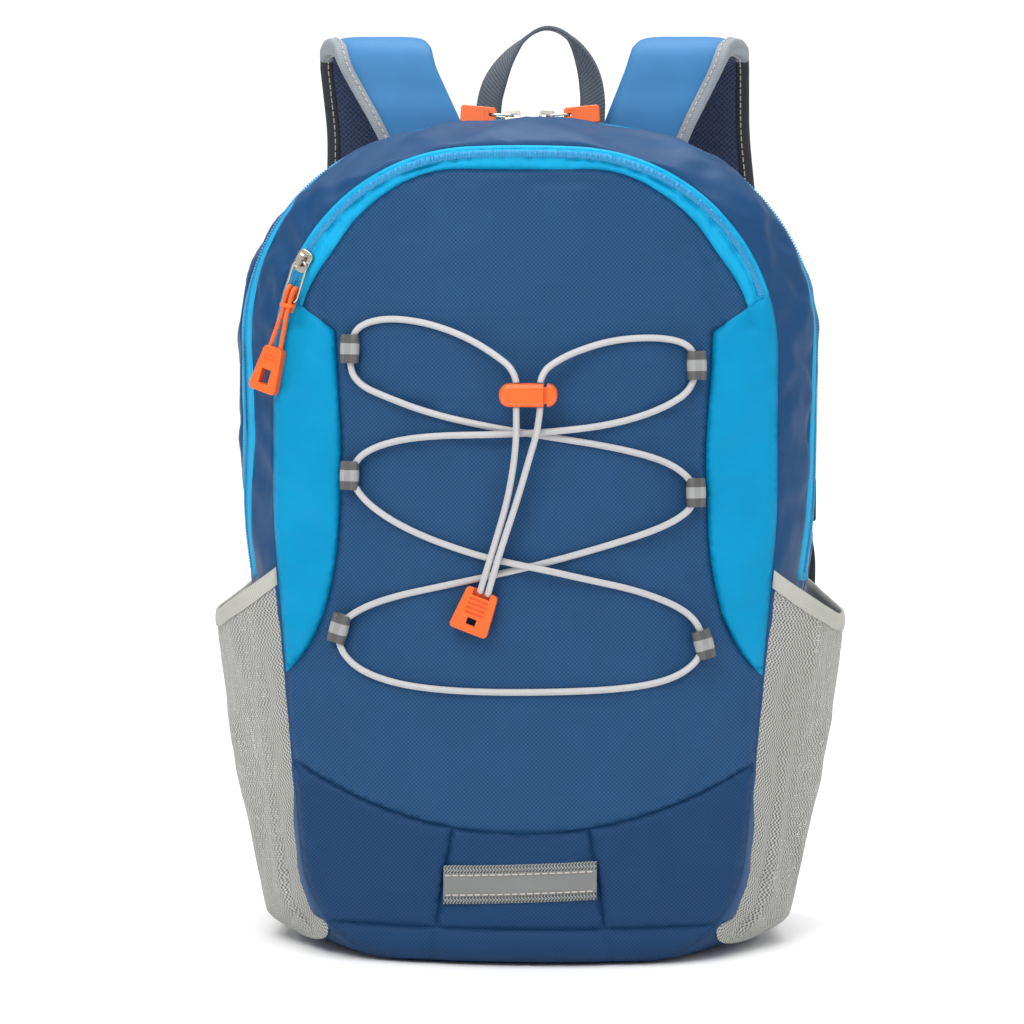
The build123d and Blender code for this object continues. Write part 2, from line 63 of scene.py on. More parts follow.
CURVED_SEAM_SIDE, CURVED_SEAM_MIDDLE = (123.0, 105.0), (0.0, 70.0)
TRAPEZOID_TOP, TRAPEZOID_FOOT, TRAPEZOID_Z = 28.0, 47.5, 120.0
WEBBING_HALF, WEBBING_Z, TAPE_Z = 40.0, (34.5, 54.5), (38.5, 50.5)
MAIN_ZIP_TILT, MAIN_ZIP_Y, MAIN_ZIP_Z, MAIN_ZIP_END = 7.0, -8.0, 250.0, 195.0
MAIN_ZIP_BANDS, MAIN_ZIP_LEFT_SHIFT = (0.0, 8.0, 13.0, 21.0), 13.0
GUSSET_ROWS = (16, 2, 2, 2, 14)
# mesh pocket: height, half width, rear seam
POCKET = [(1, 126, 112), (6, 130, 114), (16, 139, 118), (50, 147, 124), (118, 161, 132), (200, 172, 138)]
POCKET_REAR_Y, POCKET_MOUTH_Z, POCKET_FLAT_H = 66.0, 180, 180.0
HEM_FRONT, HEM_SIDE, HEM_HEIGHT = (131.0, 203.0), (170.0, 175.0), 9.0
CORD_D, CORD_LIFT = 3.5, 3.7
LOOP_W, LOOP_H, LOOP_T, LOOP_WALL = 10.5, 15.0, 7.0, 0.9
LOOPS = {
    "left_1": (-90.5, 321, 0), "left_2": (-90.5, 255, 0), "left_3": (-96, 175, 14),
    "right_1": (90.5, 313, 0), "right_2": (90.5, 247, 0), "right_3": (95, 168, -14),
}
FRONT_SLIDER, FRONT_SLIDER_GAP, BRIDGE_HOLE, PULL_ANGLE = (-115.5, 366.0), 1.2, 2.7, 17.0
RING_L, PULL_CORD_FOOT = 23.0, 47.5
STRAP_T, BINDING_W, BINDING_EXTRA, STRAP_APEX_Y = 10.0, 8.0, 0.8, 119.0
STRAP_PATH = [(90, 398), (92, 440), (104, 484), (136, 481), (148, 430), (148, 340), (138, 238)]
STRAP_PATH_RADII = [60, 17, 17, 60, 300]
STRAP_UP_INNER = [(24, 390), (34, 430), (57, 500)]
STRAP_UP_OUTER = [(72, 390), (84, 430), (114, 500)]
STRAP_DOWN_INNER = [(57, 500), (61, 430), (71, 360), (92, 295), (119, 236)]
STRAP_DOWN_OUTER = [(114, 500), (117, 430), (127, 360), (145, 295), (157, 236)]
LADDER_X = 139.0
# From the second number's station on, past the apex, the strap's binding is coloured with painted shade.
STRAP_STATIONS, STRAP_SHADE_FROM = 96, 30
STRAP_SPREAD, STRAP_SINK = {"right": 2.5, "left": 8.5}, 3.5
WEB_W, WEB_T = 24.0, 1.6
WEB_SIDE = [(138.5, 221), (134, 180), (114, 115), (85.6, 40)]
WEB_OUTLINE = [(139, 226), (145, 190), (144, 130), (128, 36)]
ANCHOR = [(96, 22), (136, 62), (122, 22)]
HAUL_Y, HAUL_W, HAUL_T = 81.0, 14.0, 2.0
CAMERA_AZIMUTH, CAMERA_ELEVATION, CAMERA_DISTANCE, CAMERA_LENS = 3.0, 6.0, 2.2, 144.5
CAMERA_TARGET_Z, CAMERA_TARGET_LEFT = 0.2306, 0.0083

# ---- cord routes: x, z and the centreline's lift above CORD_LIFT ----
LACING = [
    (-90, 321, 0), (-91, 311, 0), (-85, 302, 0), (-70, 296, 0), (-50, 289, 0), (-24, 283, 0), (12, 277, 0),
    (44, 272, 0), (68, 266, 0), (81, 260, 0), (89, 252, 0), (90, 242, 0), (84, 235, 0), (70, 228, 0),
    (44, 220, 0), (8, 210, 0), (-36, 200, 0), (-66, 193, 0), (-84, 186, 0), (-95, 178, 0), (-97, 168, 0),
    (-91, 158, 0), (-79, 151, 0), (-58, 146, 0), (-24, 144, 0), (22, 144.5, 0), (56, 146, 0), (78, 150, 0),
    (91, 158, 0), (95, 168, 0), (92, 179, 0), (82, 188, 0), (60, 197, 0), (34, 203, 1), (14, 208, 4),
    (-4, 211.5, 4), (-26, 216, 0.8), (-56, 226, 0), (-78, 238, 0), (-89, 250, 0), (-89, 260, 0),
    (-82, 268, 0), (-66, 274, 0), (-44, 277, 0.6), (-16, 278, 4), (16, 279.5, 4), (48, 283, 0.6),
    (74, 291, 0), (90, 302, 0), (90, 313, 0),
]
LEAD_LEFT = [
    (-90, 321, 0), (-89.2, 329, 0), (-82, 335, 0), (-68, 337.5, 0), (-48, 335, 0.6), (-28, 328, 2.5),
    (-12, 318.5, 6), (-3.4, 311.5, 9.4), (-2.2, 305.4, 10.5),
]
LEAD_RIGHT = [
    (90, 313, 0), (89.7, 320, 0), (82, 326, 0), (66, 328, 0), (46, 326.5, 0.6), (28, 321, 3.5),
    (17, 315.5, 7), (11.2, 310.5, 9.6), (10.2, 305.4, 10.5),
]
TAIL_LEFT = [
    (-2.2, 292.6, 10.5), (-2, 281, 9), (-3, 266, 8), (-6.5, 245, 6.8), (-12.5, 224, 6.8), (-17.5, 208, 6.6),
    (-21, 196.5, 3.2),
]
TAIL_RIGHT = [
    (10.2, 292.6, 10.5), (9, 281, 9), (4.5, 266, 8), (-1.5, 245, 7.4), (-8.4, 224, 7.6), (-13.4, 208, 7.3),
    (-17, 195, 3.2),
]
LACING_LENGTH, LEAD_LENGTHS, TAIL_LENGTHS = 1058.0, (111.0, 100.0), (99.0, 102.0)


def front_y(x, z):
    """Depth of the crowned, leaning front at x and z; numbers or arrays."""
    lean = math.radians(LEAN)
    return FRONT_Y + CROWN_R + (z - BASE_TOP) * math.tan(lean) - np.sqrt(CROWN_R**2 - x**2) / math.cos(lean)


def tucked_under(z):
    """How far the base's front edge rounds back under the bag at height z."""
    low = np.clip((BASE_ROUND_Z - np.asarray(z, float)) / BASE_ROUND_Z, 0, 1)
    return BASE_ROUND * (1 - np.sqrt(1 - low**2))


def front_normal(x):
    """Outward direction of the front at x."""
    side = x / CROWN_R
    lean = math.radians(LEAN)
    return Vector((side, -math.sqrt(1 - side**2) * math.cos(lean), math.sin(lean))).normalized()


# ---- camera ----
def make_camera():
    """Long lens a little above and to the right of straight ahead."""
    azimuth, elevation = math.radians(CAMERA_AZIMUTH), math.radians(CAMERA_ELEVATION)
    level = math.cos(elevation)
    back = Vector((math.sin(azimuth) * level, -math.cos(azimuth) * level, math.sin(elevation)))
    right = Vector((math.cos(azimuth), math.sin(azimuth), 0))
    target = Vector((0, 0, CAMERA_TARGET_Z)) - right * CAMERA_TARGET_LEFT
    camera = bpy.data.objects.new("camera", bpy.data.cameras.new("camera"))
    bpy.context.scene.collection.objects.link(camera)
    camera.data.sensor_width = 36
    camera.data.lens = CAMERA_LENS
    camera.location = target + back * CAMERA_DISTANCE
    camera.rotation_mode = "QUATERNION"
    camera.rotation_quaternion = (-back).to_track_quat("-Z", "Y")
    bpy.context.scene.camera = camera


make_camera()


# ---- node helpers ----
TONE = 0.86


def linear(red, green, blue):
    """Linear albedo of a surface that looks that sRGB colour, 0 to 255, in this studio's light."""
    def channel(value):
        value = value / 255
        return TONE * (value / 12.92 if value <= 0.04045 else ((value + 0.055) / 1.055) ** 2.4)
    return channel(red), channel(green), channel(blue), 1.0


class Shader:
    """A new material with its Principled node, and short ways to add the nodes that feed it."""

    def __init__(self, name, roughness, metallic=0.0, sheen=0.0, coat=0.0, specular=0.5):
        self.material = bpy.data.materials.new(name)
        self.material.use_nodes = True
        self.tree = self.material.node_tree
        self.bsdf = self.tree.nodes["Principled BSDF"]
        self.bsdf.inputs["Roughness"].default_value = roughness
        self.bsdf.inputs["Metallic"].default_value = metallic
        self.bsdf.inputs["Sheen Weight"].default_value = sheen
        self.bsdf.inputs["Sheen Roughness"].default_value = 0.4
        self.bsdf.inputs["Coat Weight"].default_value = coat
        self.bsdf.inputs["Specular IOR Level"].default_value = specular

    def node(self, kind, **inputs):
        made = self.tree.nodes.new(kind)
        for key, value in inputs.items():
            self.feed(made, key.replace("_", " "), value)
        return made

    def feed(self, node, socket, value):
        if isinstance(value, bpy.types.NodeSocket):
            self.tree.links.new(value, node.inputs[socket])
        else:
            node.inputs[socket].default_value = value

    def math(self, operation, first, second=0.0):
        made = self.tree.nodes.new("ShaderNodeMath")
        made.operation = operation
        self.feed(made, 0, first)
        self.feed(made, 1, second)
        return made.outputs[0]

    def cloth(self):
        """Cloth coordinates in millimetres: x along the weft and y along the warp."""
        made = self.tree.nodes.new("ShaderNodeAttribute")
        made.attribute_name = "cloth"
        split = self.node("ShaderNodeSeparateXYZ", Vector=made.outputs["Vector"])
        return made.outputs["Vector"], split.outputs[0], split.outputs[1]

    def positive(self, value):
        """A wave from -1 to 1 brought between 0 and 1."""
        half = self.math("MULTIPLY_ADD", value, 0.5)
        self.feed(half.node, 2, 0.5)
        return half

    def cloth_noise(self, at, scale, detail):
        return self.node("ShaderNodeTexNoise", Vector=at, Scale=scale, Detail=detail).outputs[0]

    def wave(self, value, pitch, shift=0.0):
        """Sine of the value, one turn every pitch."""
        turned = self.math("MULTIPLY", value, 2 * math.pi / pitch)
        return self.math("SINE", self.math("ADD", turned, shift))

    def object_noise(self, scale, detail=2.0):
        at = self.tree.nodes.new("ShaderNodeTexCoord").outputs["Object"]
        return self.node("ShaderNodeTexNoise", Vector=at, Scale=scale, Detail=detail).outputs[0]

    def ramp(self, value, low, high, at=(0.0, 1.0)):
        """Colour between low and high as value runs between the two places."""
        made = self.node("ShaderNodeValToRGB", Fac=value)
        stops = made.color_ramp.elements
        stops[0].position, stops[1].position = at
        stops[0].color, stops[1].color = low, high
        return made.outputs["Color"]

    def mix(self, share, first, second, blend="MIX"):
        made = self.tree.nodes.new("ShaderNodeMix")
        made.data_type = "RGBA"
        made.blend_type = blend
        self.feed(made, 0, share)
        self.feed(made, 6, first)
        self.feed(made, 7, second)
        return made.outputs[2]

    def colour(self, value):
        self.feed(self.bsdf, "Base Color", value)

    def rough(self, noise_value, low, high):
        made = self.node("ShaderNodeMapRange", Value=noise_value, To_Min=low, To_Max=high)
        self.feed(self.bsdf, "Roughness", made.outputs[0])

    def bump(self, *layers):
        """Bumps of (height socket, strength, depth in mm), one over the other."""
        normal = None
        for height, strength, depth in layers:
            made = self.node("ShaderNodeBump", Height=height, Strength=strength, Distance=depth * MM)
            if normal is not None:
                self.tree.links.new(normal, made.inputs["Normal"])
            normal = made.outputs["Normal"]
        self.tree.links.new(normal, self.bsdf.inputs["Normal"])


def shade(colour, factor):
    """Colour made darker or lighter by a factor."""
    return tuple(channel * factor for channel in colour[:3]) + (1.0,)


def woven(name, rgb, pitch=1.05, rough=0.62, specular=0.2, contrast=0.16, depth=0.10, twill=0.0, mottle=0.10):
    """Plain or twill woven cloth: crossing yarns, soft mottling, dull and shiny patches."""
    s = Shader(name, rough, specular=specular)
    at, weft, warp = s.cloth()
    base = linear(*rgb)
    leaning = s.math("ADD", weft, s.math("MULTIPLY", warp, twill))
    yarn = s.positive(s.math("MULTIPLY", s.wave(leaning, pitch), s.wave(warp, pitch)))
    blotch = s.cloth_noise(at, 0.035, 4.0)
    grain = s.cloth_noise(at, 0.9, 2.0)
    threads = s.mix(yarn, shade(base, 1 - contrast), shade(base, 1 + contrast))
    tone = s.ramp(blotch, shade((1, 1, 1), 1 - mottle), shade((1, 1, 1), 1.0), at=(0.3, 0.7))
    s.colour(s.mix(1.0, threads, tone, "MULTIPLY"))
    s.rough(grain, rough - 0.08, rough + 0.10)
    s.bump((yarn, 0.55, depth), (blotch, 0.25, 0.35))
    return s.material


def knit(name, rgb):
    """Open zigzag knit: slanting yarn bars with small holes between them."""
    s = Shader(name, 0.75, sheen=0.2)
    at, weft, warp = s.cloth()
    base = linear(*rgb)
    sway = s.math("MULTIPLY", s.wave(warp, 5.0), 0.42)
    column = s.wave(s.math("ADD", weft, sway), 2.3)
    row = s.wave(warp, 2.5, 0.8)
    lattice = s.math("MULTIPLY", column, row)
    hole = s.math("LESS_THAN", lattice, -0.66)
    yarn = s.node("ShaderNodeMapRange", Value=lattice, From_Min=-0.6, From_Max=0.9)
    fibre = s.cloth_noise(at, 1.6, 3.0)
    tone = s.mix(fibre, shade(base, 0.86), shade(base, 1.1))
    # Painted shade: low in the lattice, round the holes, the knit is coloured at about a third of its colour,
    # as the gaps between yarn bars fall in shade.
    s.colour(s.mix(yarn.outputs[0], shade(base, 0.36), tone))
    s.feed(s.bsdf, "Alpha", s.math("SUBTRACT", 1.0, hole))
    s.bump((yarn.outputs[0], 0.8, 0.4))
    return s.material


def striped_ribbon(name, rgb, stripe, pitch=0.9):
    """Ribbed ribbon with a silver stripe along its middle; cloth y runs across, 0 at the middle."""
    s = Shader(name, 0.55)
    at, weft, warp = s.cloth()
    ribs = s.positive(s.wave(weft, pitch))
    grain = s.cloth_noise(at, 1.4, 3.0)
    ground = s.mix(ribs, shade(linear(*rgb), 0.75), shade(linear(*rgb), 1.25))
    silver = s.mix(grain, shade(linear(*stripe), 0.9), shade(linear(*stripe), 1.1))
    middle = s.math("LESS_THAN", s.math("ABSOLUTE", warp), 2.9)
    s.colour(s.mix(middle, ground, silver))
    s.rough(grain, 0.4, 0.6)
    s.bump((ribs, 0.6, 0.15))
    return s.material


def chain_webbing(name, dark, pale, pitch=2.3):
    """Chain-like jacquard webbing: pale chevrons on a dark ground."""
    s = Shader(name, 0.7)
    at, weft, warp = s.cloth()
    bend = s.math("ABSOLUTE", s.wave(warp, 5.2))
    chevron = s.wave(s.math("ADD", weft, s.math("MULTIPLY", bend, 1.2)), pitch)
    cross = s.wave(warp, 2.6, 1.2)
    lattice = s.math("ADD", s.math("MULTIPLY", chevron, 0.65), s.math("MULTIPLY", cross, 0.35))
    s.colour(s.ramp(s.math("ADD", lattice, 0.45), linear(*dark), linear(*pale), at=(0.25, 0.75)))
    s.bump((lattice, 0.9, 0.3))
    return s.material


def plastic(name, rgb, rough=0.38):
    """Moulded plastic with a fine spark-eroded grain and slightly worn sheen."""
    s = Shader(name, rough, coat=0.15)
    base = linear(*rgb)
    s.colour(s.mix(s.object_noise(60), shade(base, 0.93), shade(base, 1.05)))
    s.rough(s.object_noise(140), rough - 0.08, rough + 0.12)
    s.bump((s.object_noise(1800, 3), 0.35, 0.03))
    s.bsdf.inputs["Subsurface Weight"].default_value = 0.06
    s.bsdf.inputs["Subsurface Radius"].default_value = (0.002, 0.001, 0.0006)
    return s.material


def metal(name, rgb, rough=0.18):
    """Polished metal, a little duller in soft patches."""
    s = Shader(name, rough, metallic=1.0)
    base = linear(*rgb)
    s.colour(s.mix(s.object_noise(300), shade(base, 0.9), base))
    s.rough(s.object_noise(220, 4), rough - 0.06, rough + 0.16)
    s.bump((s.object_noise(900, 2), 0.15, 0.02))
    return s.material


def braid(name, rgb, pitch=1.7, rough=0.55):
    """Braided cord sheath: two crossing spirals of yarn; cloth x runs along, y round."""
    s = Shader(name, rough, sheen=0.2)
    at, along, round_it = s.cloth()
    base = linear(*rgb)
    one = s.wave(s.math("ADD", along, round_it), pitch)
    two = s.wave(s.math("SUBTRACT", along, round_it), pitch)
    yarn = s.positive(s.math("MULTIPLY", one, two))
    s.colour(s.mix(yarn, shade(base, 0.84), shade(base, 1.06)))
    s.bump((yarn, 0.5, 0.16))
    return s.material


def air_mesh(name, rgb):
    """Spacer mesh of the padded back: rows of small round openings, their dark colour painted shade."""
    s = Shader(name, 0.85, sheen=0.3)
    at, weft, warp = s.cloth()
    base = linear(*rgb)
    dots = s.math("MULTIPLY", s.wave(weft, 3.0), s.wave(warp, 3.0))
    cell = s.node("ShaderNodeMapRange", Value=dots, From_Min=-0.7, From_Max=0.2)
    fuzz = s.cloth_noise(at, 1.2, 3.0)
    # Painted shade: the openings are coloured at about a third of the mesh's colour for the shade inside
    # them.
    s.colour(s.mix(cell.outputs[0], shade(base, 0.35), s.mix(fuzz, shade(base, 0.9), shade(base, 1.15))))
    s.bump((cell.outputs[0], 0.8, 0.5))
    return s.material


OXFORD = woven("blue_oxford", (28, 73, 116), pitch=2.2, rough=0.6, contrast=0.42, depth=0.2)
# A darker copy of the oxford for the lower panels and the base: painted shade for the dimmer light low on the
# bag.
OXFORD_SHADED = woven("blue_oxford_shaded", (19, 61, 103), pitch=2.2, rough=0.6, contrast=0.36, depth=0.2)
NYLON = woven("blue_nylon", (16, 68, 114), pitch=0.7, rough=0.46, specular=0.22, contrast=0.08, depth=0.05)
STRAP_NYLON = woven("strap_nylon", (60, 126, 180), pitch=0.7, rough=0.5, contrast=0.08, depth=0.05)
CYAN = woven("cyan_nylon", (0, 146, 196), pitch=0.7, rough=0.5, specular=0.1, contrast=0.07, depth=0.05)
ZIP_TAPE = woven("zip_tape", (0, 168, 220), pitch=0.9, rough=0.6, contrast=0.12, twill=1.0)
ZIP_COIL = plastic("zip_coil", (0, 138, 194), rough=0.45)
KNIT = knit("mesh_knit", (200, 200, 194))
HEM = woven("hem_knit", (186, 186, 178), pitch=1.6, rough=0.8, contrast=0.2, depth=0.25, twill=0.6)
TWILL = woven("binding_twill", (150, 157, 164), pitch=1.3, rough=0.75, contrast=0.16, depth=0.2, twill=1.0)
# A darker copy of the binding twill, used past the strap's apex: painted shade for the binding's side that
# faces away from the light.
TWILL_SHADED = woven("binding_twill_shaded", (58, 62, 66), pitch=1.3, rough=0.75, contrast=0.2, depth=0.2,
                   twill=1.0)
WEBBING = woven("webbing", (96, 103, 112), pitch=2.0, rough=0.7, contrast=0.5, depth=0.4, twill=0.5)
DARK_WEB = woven("dark_webbing", (46, 50, 56), pitch=1.8, rough=0.7, contrast=0.3, depth=0.3, twill=0.5)
CHAIN = chain_webbing("chain_webbing", (74, 74, 76), (156, 162, 160), pitch=1.7)
SILVER = woven("reflective_tape", (132, 133, 133), pitch=0.5, rough=0.35, contrast=0.05, depth=0.02)
THREAD = braid("thread", (206, 196, 190), pitch=0.6)
RIBBON = striped_ribbon("loop_ribbon", (88, 88, 88), (160, 161, 160))
CORD = braid("cord", (196, 195, 196))
ORANGE_CORD = braid("orange_cord", (250, 104, 20), pitch=1.2)
ORANGE = plastic("orange_plastic", (250, 100, 10))
BLACK = plastic("black_plastic", (34, 36, 40), rough=0.45)
NICKEL = metal("nickel", (206, 200, 190))
STEEL = metal("spring_steel", (150, 150, 150), rough=0.3)
AIR_MESH = air_mesh("air_mesh", (58, 62, 70))
LINING = air_mesh("strap_lining", (44, 62, 98))


# ---- mesh helpers ----
class Mesh:
    """Collects points in millimetres, their cloth coordinates and faces for one piece."""

    def __init__(self):
        self.points, self.cloth, self.faces, self.slots = [], [], [], []

    def add(self, points, faces, cloth=None, slot=0):
        first = len(self.points)
        self.points += [tuple(p) for p in points]
        self.cloth += [tuple(c) for c in (cloth if cloth is not None else points)]
        self.faces += [tuple(first + i for i in face) for face in faces]
        self.slots += [slot] * len(faces)

    def grid(self, points, cloth, closed=False, keep=None, slot=0, capped=False):
        """Rows x columns of points as quads; closed joins the columns round, capped fills both ends."""
        rows, columns = points.shape[:2]
        faces = []
        for i in range(rows - 1):
            for j in range(columns if closed else columns - 1):
                after = (j + 1) % columns
                if keep is None or keep[i, j]:
                    below, above = i * columns, (i + 1) * columns
                    faces.append((below + j, below + after, above + after, above + j))
        if capped:
            last = (rows - 1) * columns
            faces += [tuple(reversed(range(columns))), tuple(range(last, last + columns))]
        self.add(points.reshape(-1, 3), faces, cloth.reshape(-1, 3), slot)

    def build(self, name, materials):
        used = sorted({i for face in self.faces for i in face})
        renumber = {old: new for new, old in enumerate(used)}
        data = bpy.data.meshes.new(name)
        data.from_pydata(
            [tuple(c * MM for c in self.points[i]) for i in used], [],
            [tuple(renumber[i] for i in face) for face in self.faces],
        )
        coordinates = data.attributes.new("cloth", "FLOAT_VECTOR", "POINT")
        coordinates.data.foreach_set("vector", np.array([self.cloth[i] for i in used], np.float32).ravel())
        for material in materials:
            data.materials.append(material)
        data.polygons.foreach_set("material_index", self.slots)
        data.shade_smooth()
        made = bpy.data.objects.new(name, data)
        bpy.context.scene.collection.objects.link(made)
        return made


def finish_piece(made, body, nodes=(), thick=0.0):
    """Gives a piece its cloth thickness and body, and hides the CAD nodes it stands for."""
    if thick:
        solid = made.modifiers.new("thickness", "SOLIDIFY")
        solid.thickness = thick * MM
        solid.offset = -1
    if body:
        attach(made, body)
    if nodes:
        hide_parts(*nodes)
    return made


def lengths_along(line):
    """Distance travelled at each point of a line."""
    return np.r_[0, np.cumsum(np.linalg.norm(np.diff(line, axis=0), axis=1))]


def unit(rows):
    """Vectors, one for each row, each made one long."""
    return rows / np.linalg.norm(rows, axis=1, keepdims=True)


def rounded(points, radii, steps=10):
    """Line through the points with each inner corner rounded by a tangent arc."""
    points = [Vector(p) for p in points]
    line = [points[0]]
    for before, corner, after, radius in zip(points, points[1:], points[2:], radii):
        one, two = (before - corner).normalized(), (after - corner).normalized()
        angle = one.angle(two)
        centre = corner + (one + two).normalized() * (radius / math.sin(angle / 2))
        start = corner + one * (radius / math.tan(angle / 2)) - centre
        end = corner + two * (radius / math.tan(angle / 2)) - centre
        turn = math.pi - angle
        for i in range(steps + 1):
            share = i / steps
            swept = start * math.sin((1 - share) * turn) + end * math.sin(share * turn)
            line.append(centre + swept / math.sin(turn))
    line.append(points[-1])
    return np.array([tuple(p) for p in line])


def resample(line, count):
    """count + 1 evenly spaced points along a line."""
    line = np.asarray(line, float)
    steps = lengths_along(line)
    places = np.linspace(0, steps[-1], count + 1)
    return np.stack([np.interp(places, steps, line[:, k]) for k in range(line.shape[1])], axis=1)


def half_outline(shape, inset=0.0):
    """Right half of an arched outline, from the middle of its foot to the middle of its top."""
    half, top, top_r, shoulder_r, foot, foot_r = shape
    centre_x = half - shoulder_r
    top_centre = top - top_r
    centre_z = top_centre + math.sqrt((top_r - shoulder_r) ** 2 - centre_x**2)
    join = math.atan2(centre_z - top_centre, centre_x)
    half, foot, shoulder_r, top_r = half - inset, foot - inset, shoulder_r - inset, top_r - inset
    corner = max(foot_r - inset, 1.0)
    low = rounded([(0, inset), (foot, inset), (half, SIDE_KINK_Z), (half, centre_z)], [corner, 300.0])
    turns = np.linspace(0, join, 45)
    shoulder = np.stack(
        [centre_x + shoulder_r * np.cos(turns), centre_z + shoulder_r * np.sin(turns)], axis=1)
    turns = np.linspace(join, math.pi / 2, 9)
    crest = np.stack([top_r * np.cos(turns), top_centre + top_r * np.sin(turns)], axis=1)
    parts = [resample(low[0:2], 16), resample(low[1:12], 18), resample(low[11:13], 44),
             resample(low[12:23], 6),
             resample(low[22:24], 18), shoulder, crest]
    return np.concatenate([parts[0]] + [part[1:] for part in parts[1:]])


def full_outline(shape, inset=0.0):
    """Closed outline: up the right side, over the top and down the left side."""
    right = half_outline(shape, inset)
    left = right[::-1][1:-1] * (-1, 1)
    return np.concatenate([right, left])


def inside(points, loop):
    """True for the points within a closed loop."""
    x, z = points[:, 0], points[:, 1]
    result = np.zeros(len(points), bool)
    for (ax, az), (bx, bz) in zip(loop, np.roll(loop, -1, axis=0)):
        crosses = (az > z) != (bz > z)
        if az != bz:
            result ^= crosses & (x < (bx - ax) * (z - az) / (bz - az) + ax)
    return result


def distance_to(points, lines):
    """Least distance from each point to any of the lines."""
    best = np.full(len(points), 1e9)
    for line in lines:
        for a, b in zip(line[:-1], line[1:]):
            edge = b - a
            share = np.clip(((points - a) @ edge) / max(edge @ edge, 1e-9), 0, 1)
            gap = np.linalg.norm(points - (a + share[:, None] * edge), axis=1)
            best = np.minimum(best, gap)
    return best


def ripple(points, size, seed):
    """Smooth noise, about -1 to 1, at flat points; size is the wrinkle's length in mm, along each axis."""
    return np.array([noise.noise(Vector((x / size[0] + seed, y / size[1] - seed, 0))) for x, y in points])


def fill_outline(loop, lines, step, margin):
    """Even triangles inside a closed outline with edges along the lines: flat points and their triangles."""
    reach, top = round(loop[:, 0].max()) + 2, round(loop[:, 1].max()) + 3
    rows = np.arange(0, top, step * 0.866)
    columns = np.arange(-reach, reach + 1, step)
    spots = np.array([(x + (step / 2 if i % 2 else 0), z) for i, z in enumerate(rows) for x in columns])
    spots = spots[inside(spots, loop)]
    spots = spots[distance_to(spots, lines) > margin]
    points, edges = [], []
    for line in lines:
        first = len(points)
        points += [Vector(p) for p in line]
        edges += [(first + i, first + i + 1) for i in range(len(line) - 1)]
    points += [Vector(p) for p in spots]
    found = geometry.delaunay_2d_cdt(points, edges, [], 0, 0.02)
    flat = np.array([tuple(p) for p in found[0]])
    triangles = np.array([face for face in found[2] if len(face) == 3])
    return flat, triangles[inside(flat[triangles].mean(axis=1), loop)]


def simulate(jobs, frames=14):
    """Lets each held cloth settle under light pressure, and returns its points' moves.

    A job is the points, faces, held points, pressure, shrink and longest move.
    """
    scene = bpy.context.scene
    tests = []
    for points, faces, held, pressure, shrink, cap in jobs:
        data = bpy.data.meshes.new("settling")
        data.from_pydata([tuple(p) for p in points * MM], [], faces)
        test = bpy.data.objects.new("settling", data)
        scene.collection.objects.link(test)
        group = test.vertex_groups.new(name="held")
        group.add([int(i) for i in np.nonzero(held)[0]], 1.0, "REPLACE")
        cloth = test.modifiers.new("cloth", "CLOTH")
        s = cloth.settings
        s.quality = 6
        s.mass = 0.12
        s.tension_stiffness = s.compression_stiffness = 18
        s.shear_stiffness = 6
        s.bending_stiffness = 0.02
        s.tension_damping = s.compression_damping = s.shear_damping = 6
        s.bending_damping = 0.5
        s.air_damping = 2
        s.vertex_group_mass = "held"
        s.use_pressure = True
        s.uniform_pressure_force = pressure
        s.shrink_min = shrink
        s.effector_weights.gravity = 0
        cloth.collision_settings.use_collision = False
        cloth.point_cache.frame_start = 1
        cloth.point_cache.frame_end = frames
        tests.append(test)
    for step in range(1, frames + 1):
        scene.frame_set(step)
    graph = bpy.context.evaluated_depsgraph_get()
    moves = []
    for test, job in zip(tests, jobs):
        settled = test.evaluated_get(graph).data
        at = np.empty(len(settled.vertices) * 3, np.float32)
        settled.vertices.foreach_get("co", at)
        move = at.reshape(-1, 3) / MM - job[0]
        size = np.linalg.norm(move, axis=1, keepdims=True)
        moves.append(move * np.minimum(1, job[5] / np.maximum(size, 1e-6)))
    for test in tests:
        bpy.data.objects.remove(test, do_unlink=True)
    scene.frame_set(1)
    return moves


# ---- cords ----
def cord_points(name, points):
    """Centreline through a NURBS curve whose control points are the route's."""
    data = bpy.data.curves.new(name, "CURVE")
    data.dimensions = "3D"
    spline = data.splines.new("NURBS")
    spline.points.add(len(points) - 1)
    for point, place in zip(spline.points, points):
        point.co = (place[0] * MM, place[1] * MM, place[2] * MM, 1)
    spline.order_u = 3
    spline.use_endpoint_u = True
    spline.resolution_u = 12
    line = bpy.data.objects.new(name, data)
    bpy.context.scene.collection.objects.link(line)
    mesh = bpy.data.meshes.new_from_object(line)
    places = [v.co / MM for v in mesh.vertices]
    bpy.data.objects.remove(line, do_unlink=True)
    bpy.data.meshes.remove(mesh)
    return places


def tube(mesh, line, radius, sides=12, slot=0):
    """Round tube along a line, with domed ends and cloth coordinates along and round it."""
    line = [Vector(p) for p in line]
    tangents = [(b - a).normalized() for a, b in zip(line, line[1:])]
    tangents = [tangents[0]] + [(a + b).normalized() for a, b in zip(tangents, tangents[1:])] + [tangents[-1]]
    side = tangents[0].orthogonal().normalized()
    rings, cloth, travelled = [], [], 0.0
    stations = [(line[0] - tangents[0] * radius * 0.35, tangents[0], 0.6)]
    stations += [(place, tangent, 1.0) for place, tangent in zip(line, tangents)]
    stations += [(line[-1] + tangents[-1] * radius * 0.35, tangents[-1], 0.6)]
    for i, (place, tangent, size) in enumerate(stations):
        side = (side - tangent * side.dot(tangent)).normalized()
        up = tangent.cross(side)
        if i:
            travelled += (place - stations[i - 1][0]).length
        for k in range(sides):
            turn = 2 * math.pi * k / sides
            rings.append(place + (side * math.cos(turn) + up * math.sin(turn)) * radius * size)
            cloth.append((travelled, k * 2 * math.pi * radius / sides, 0))
    shape = (len(stations), sides, 3)
    points = np.array([tuple(p) for p in rings]).reshape(shape)
    mesh.grid(points, np.array(cloth).reshape(shape), closed=True, slot=slot, capped=True)


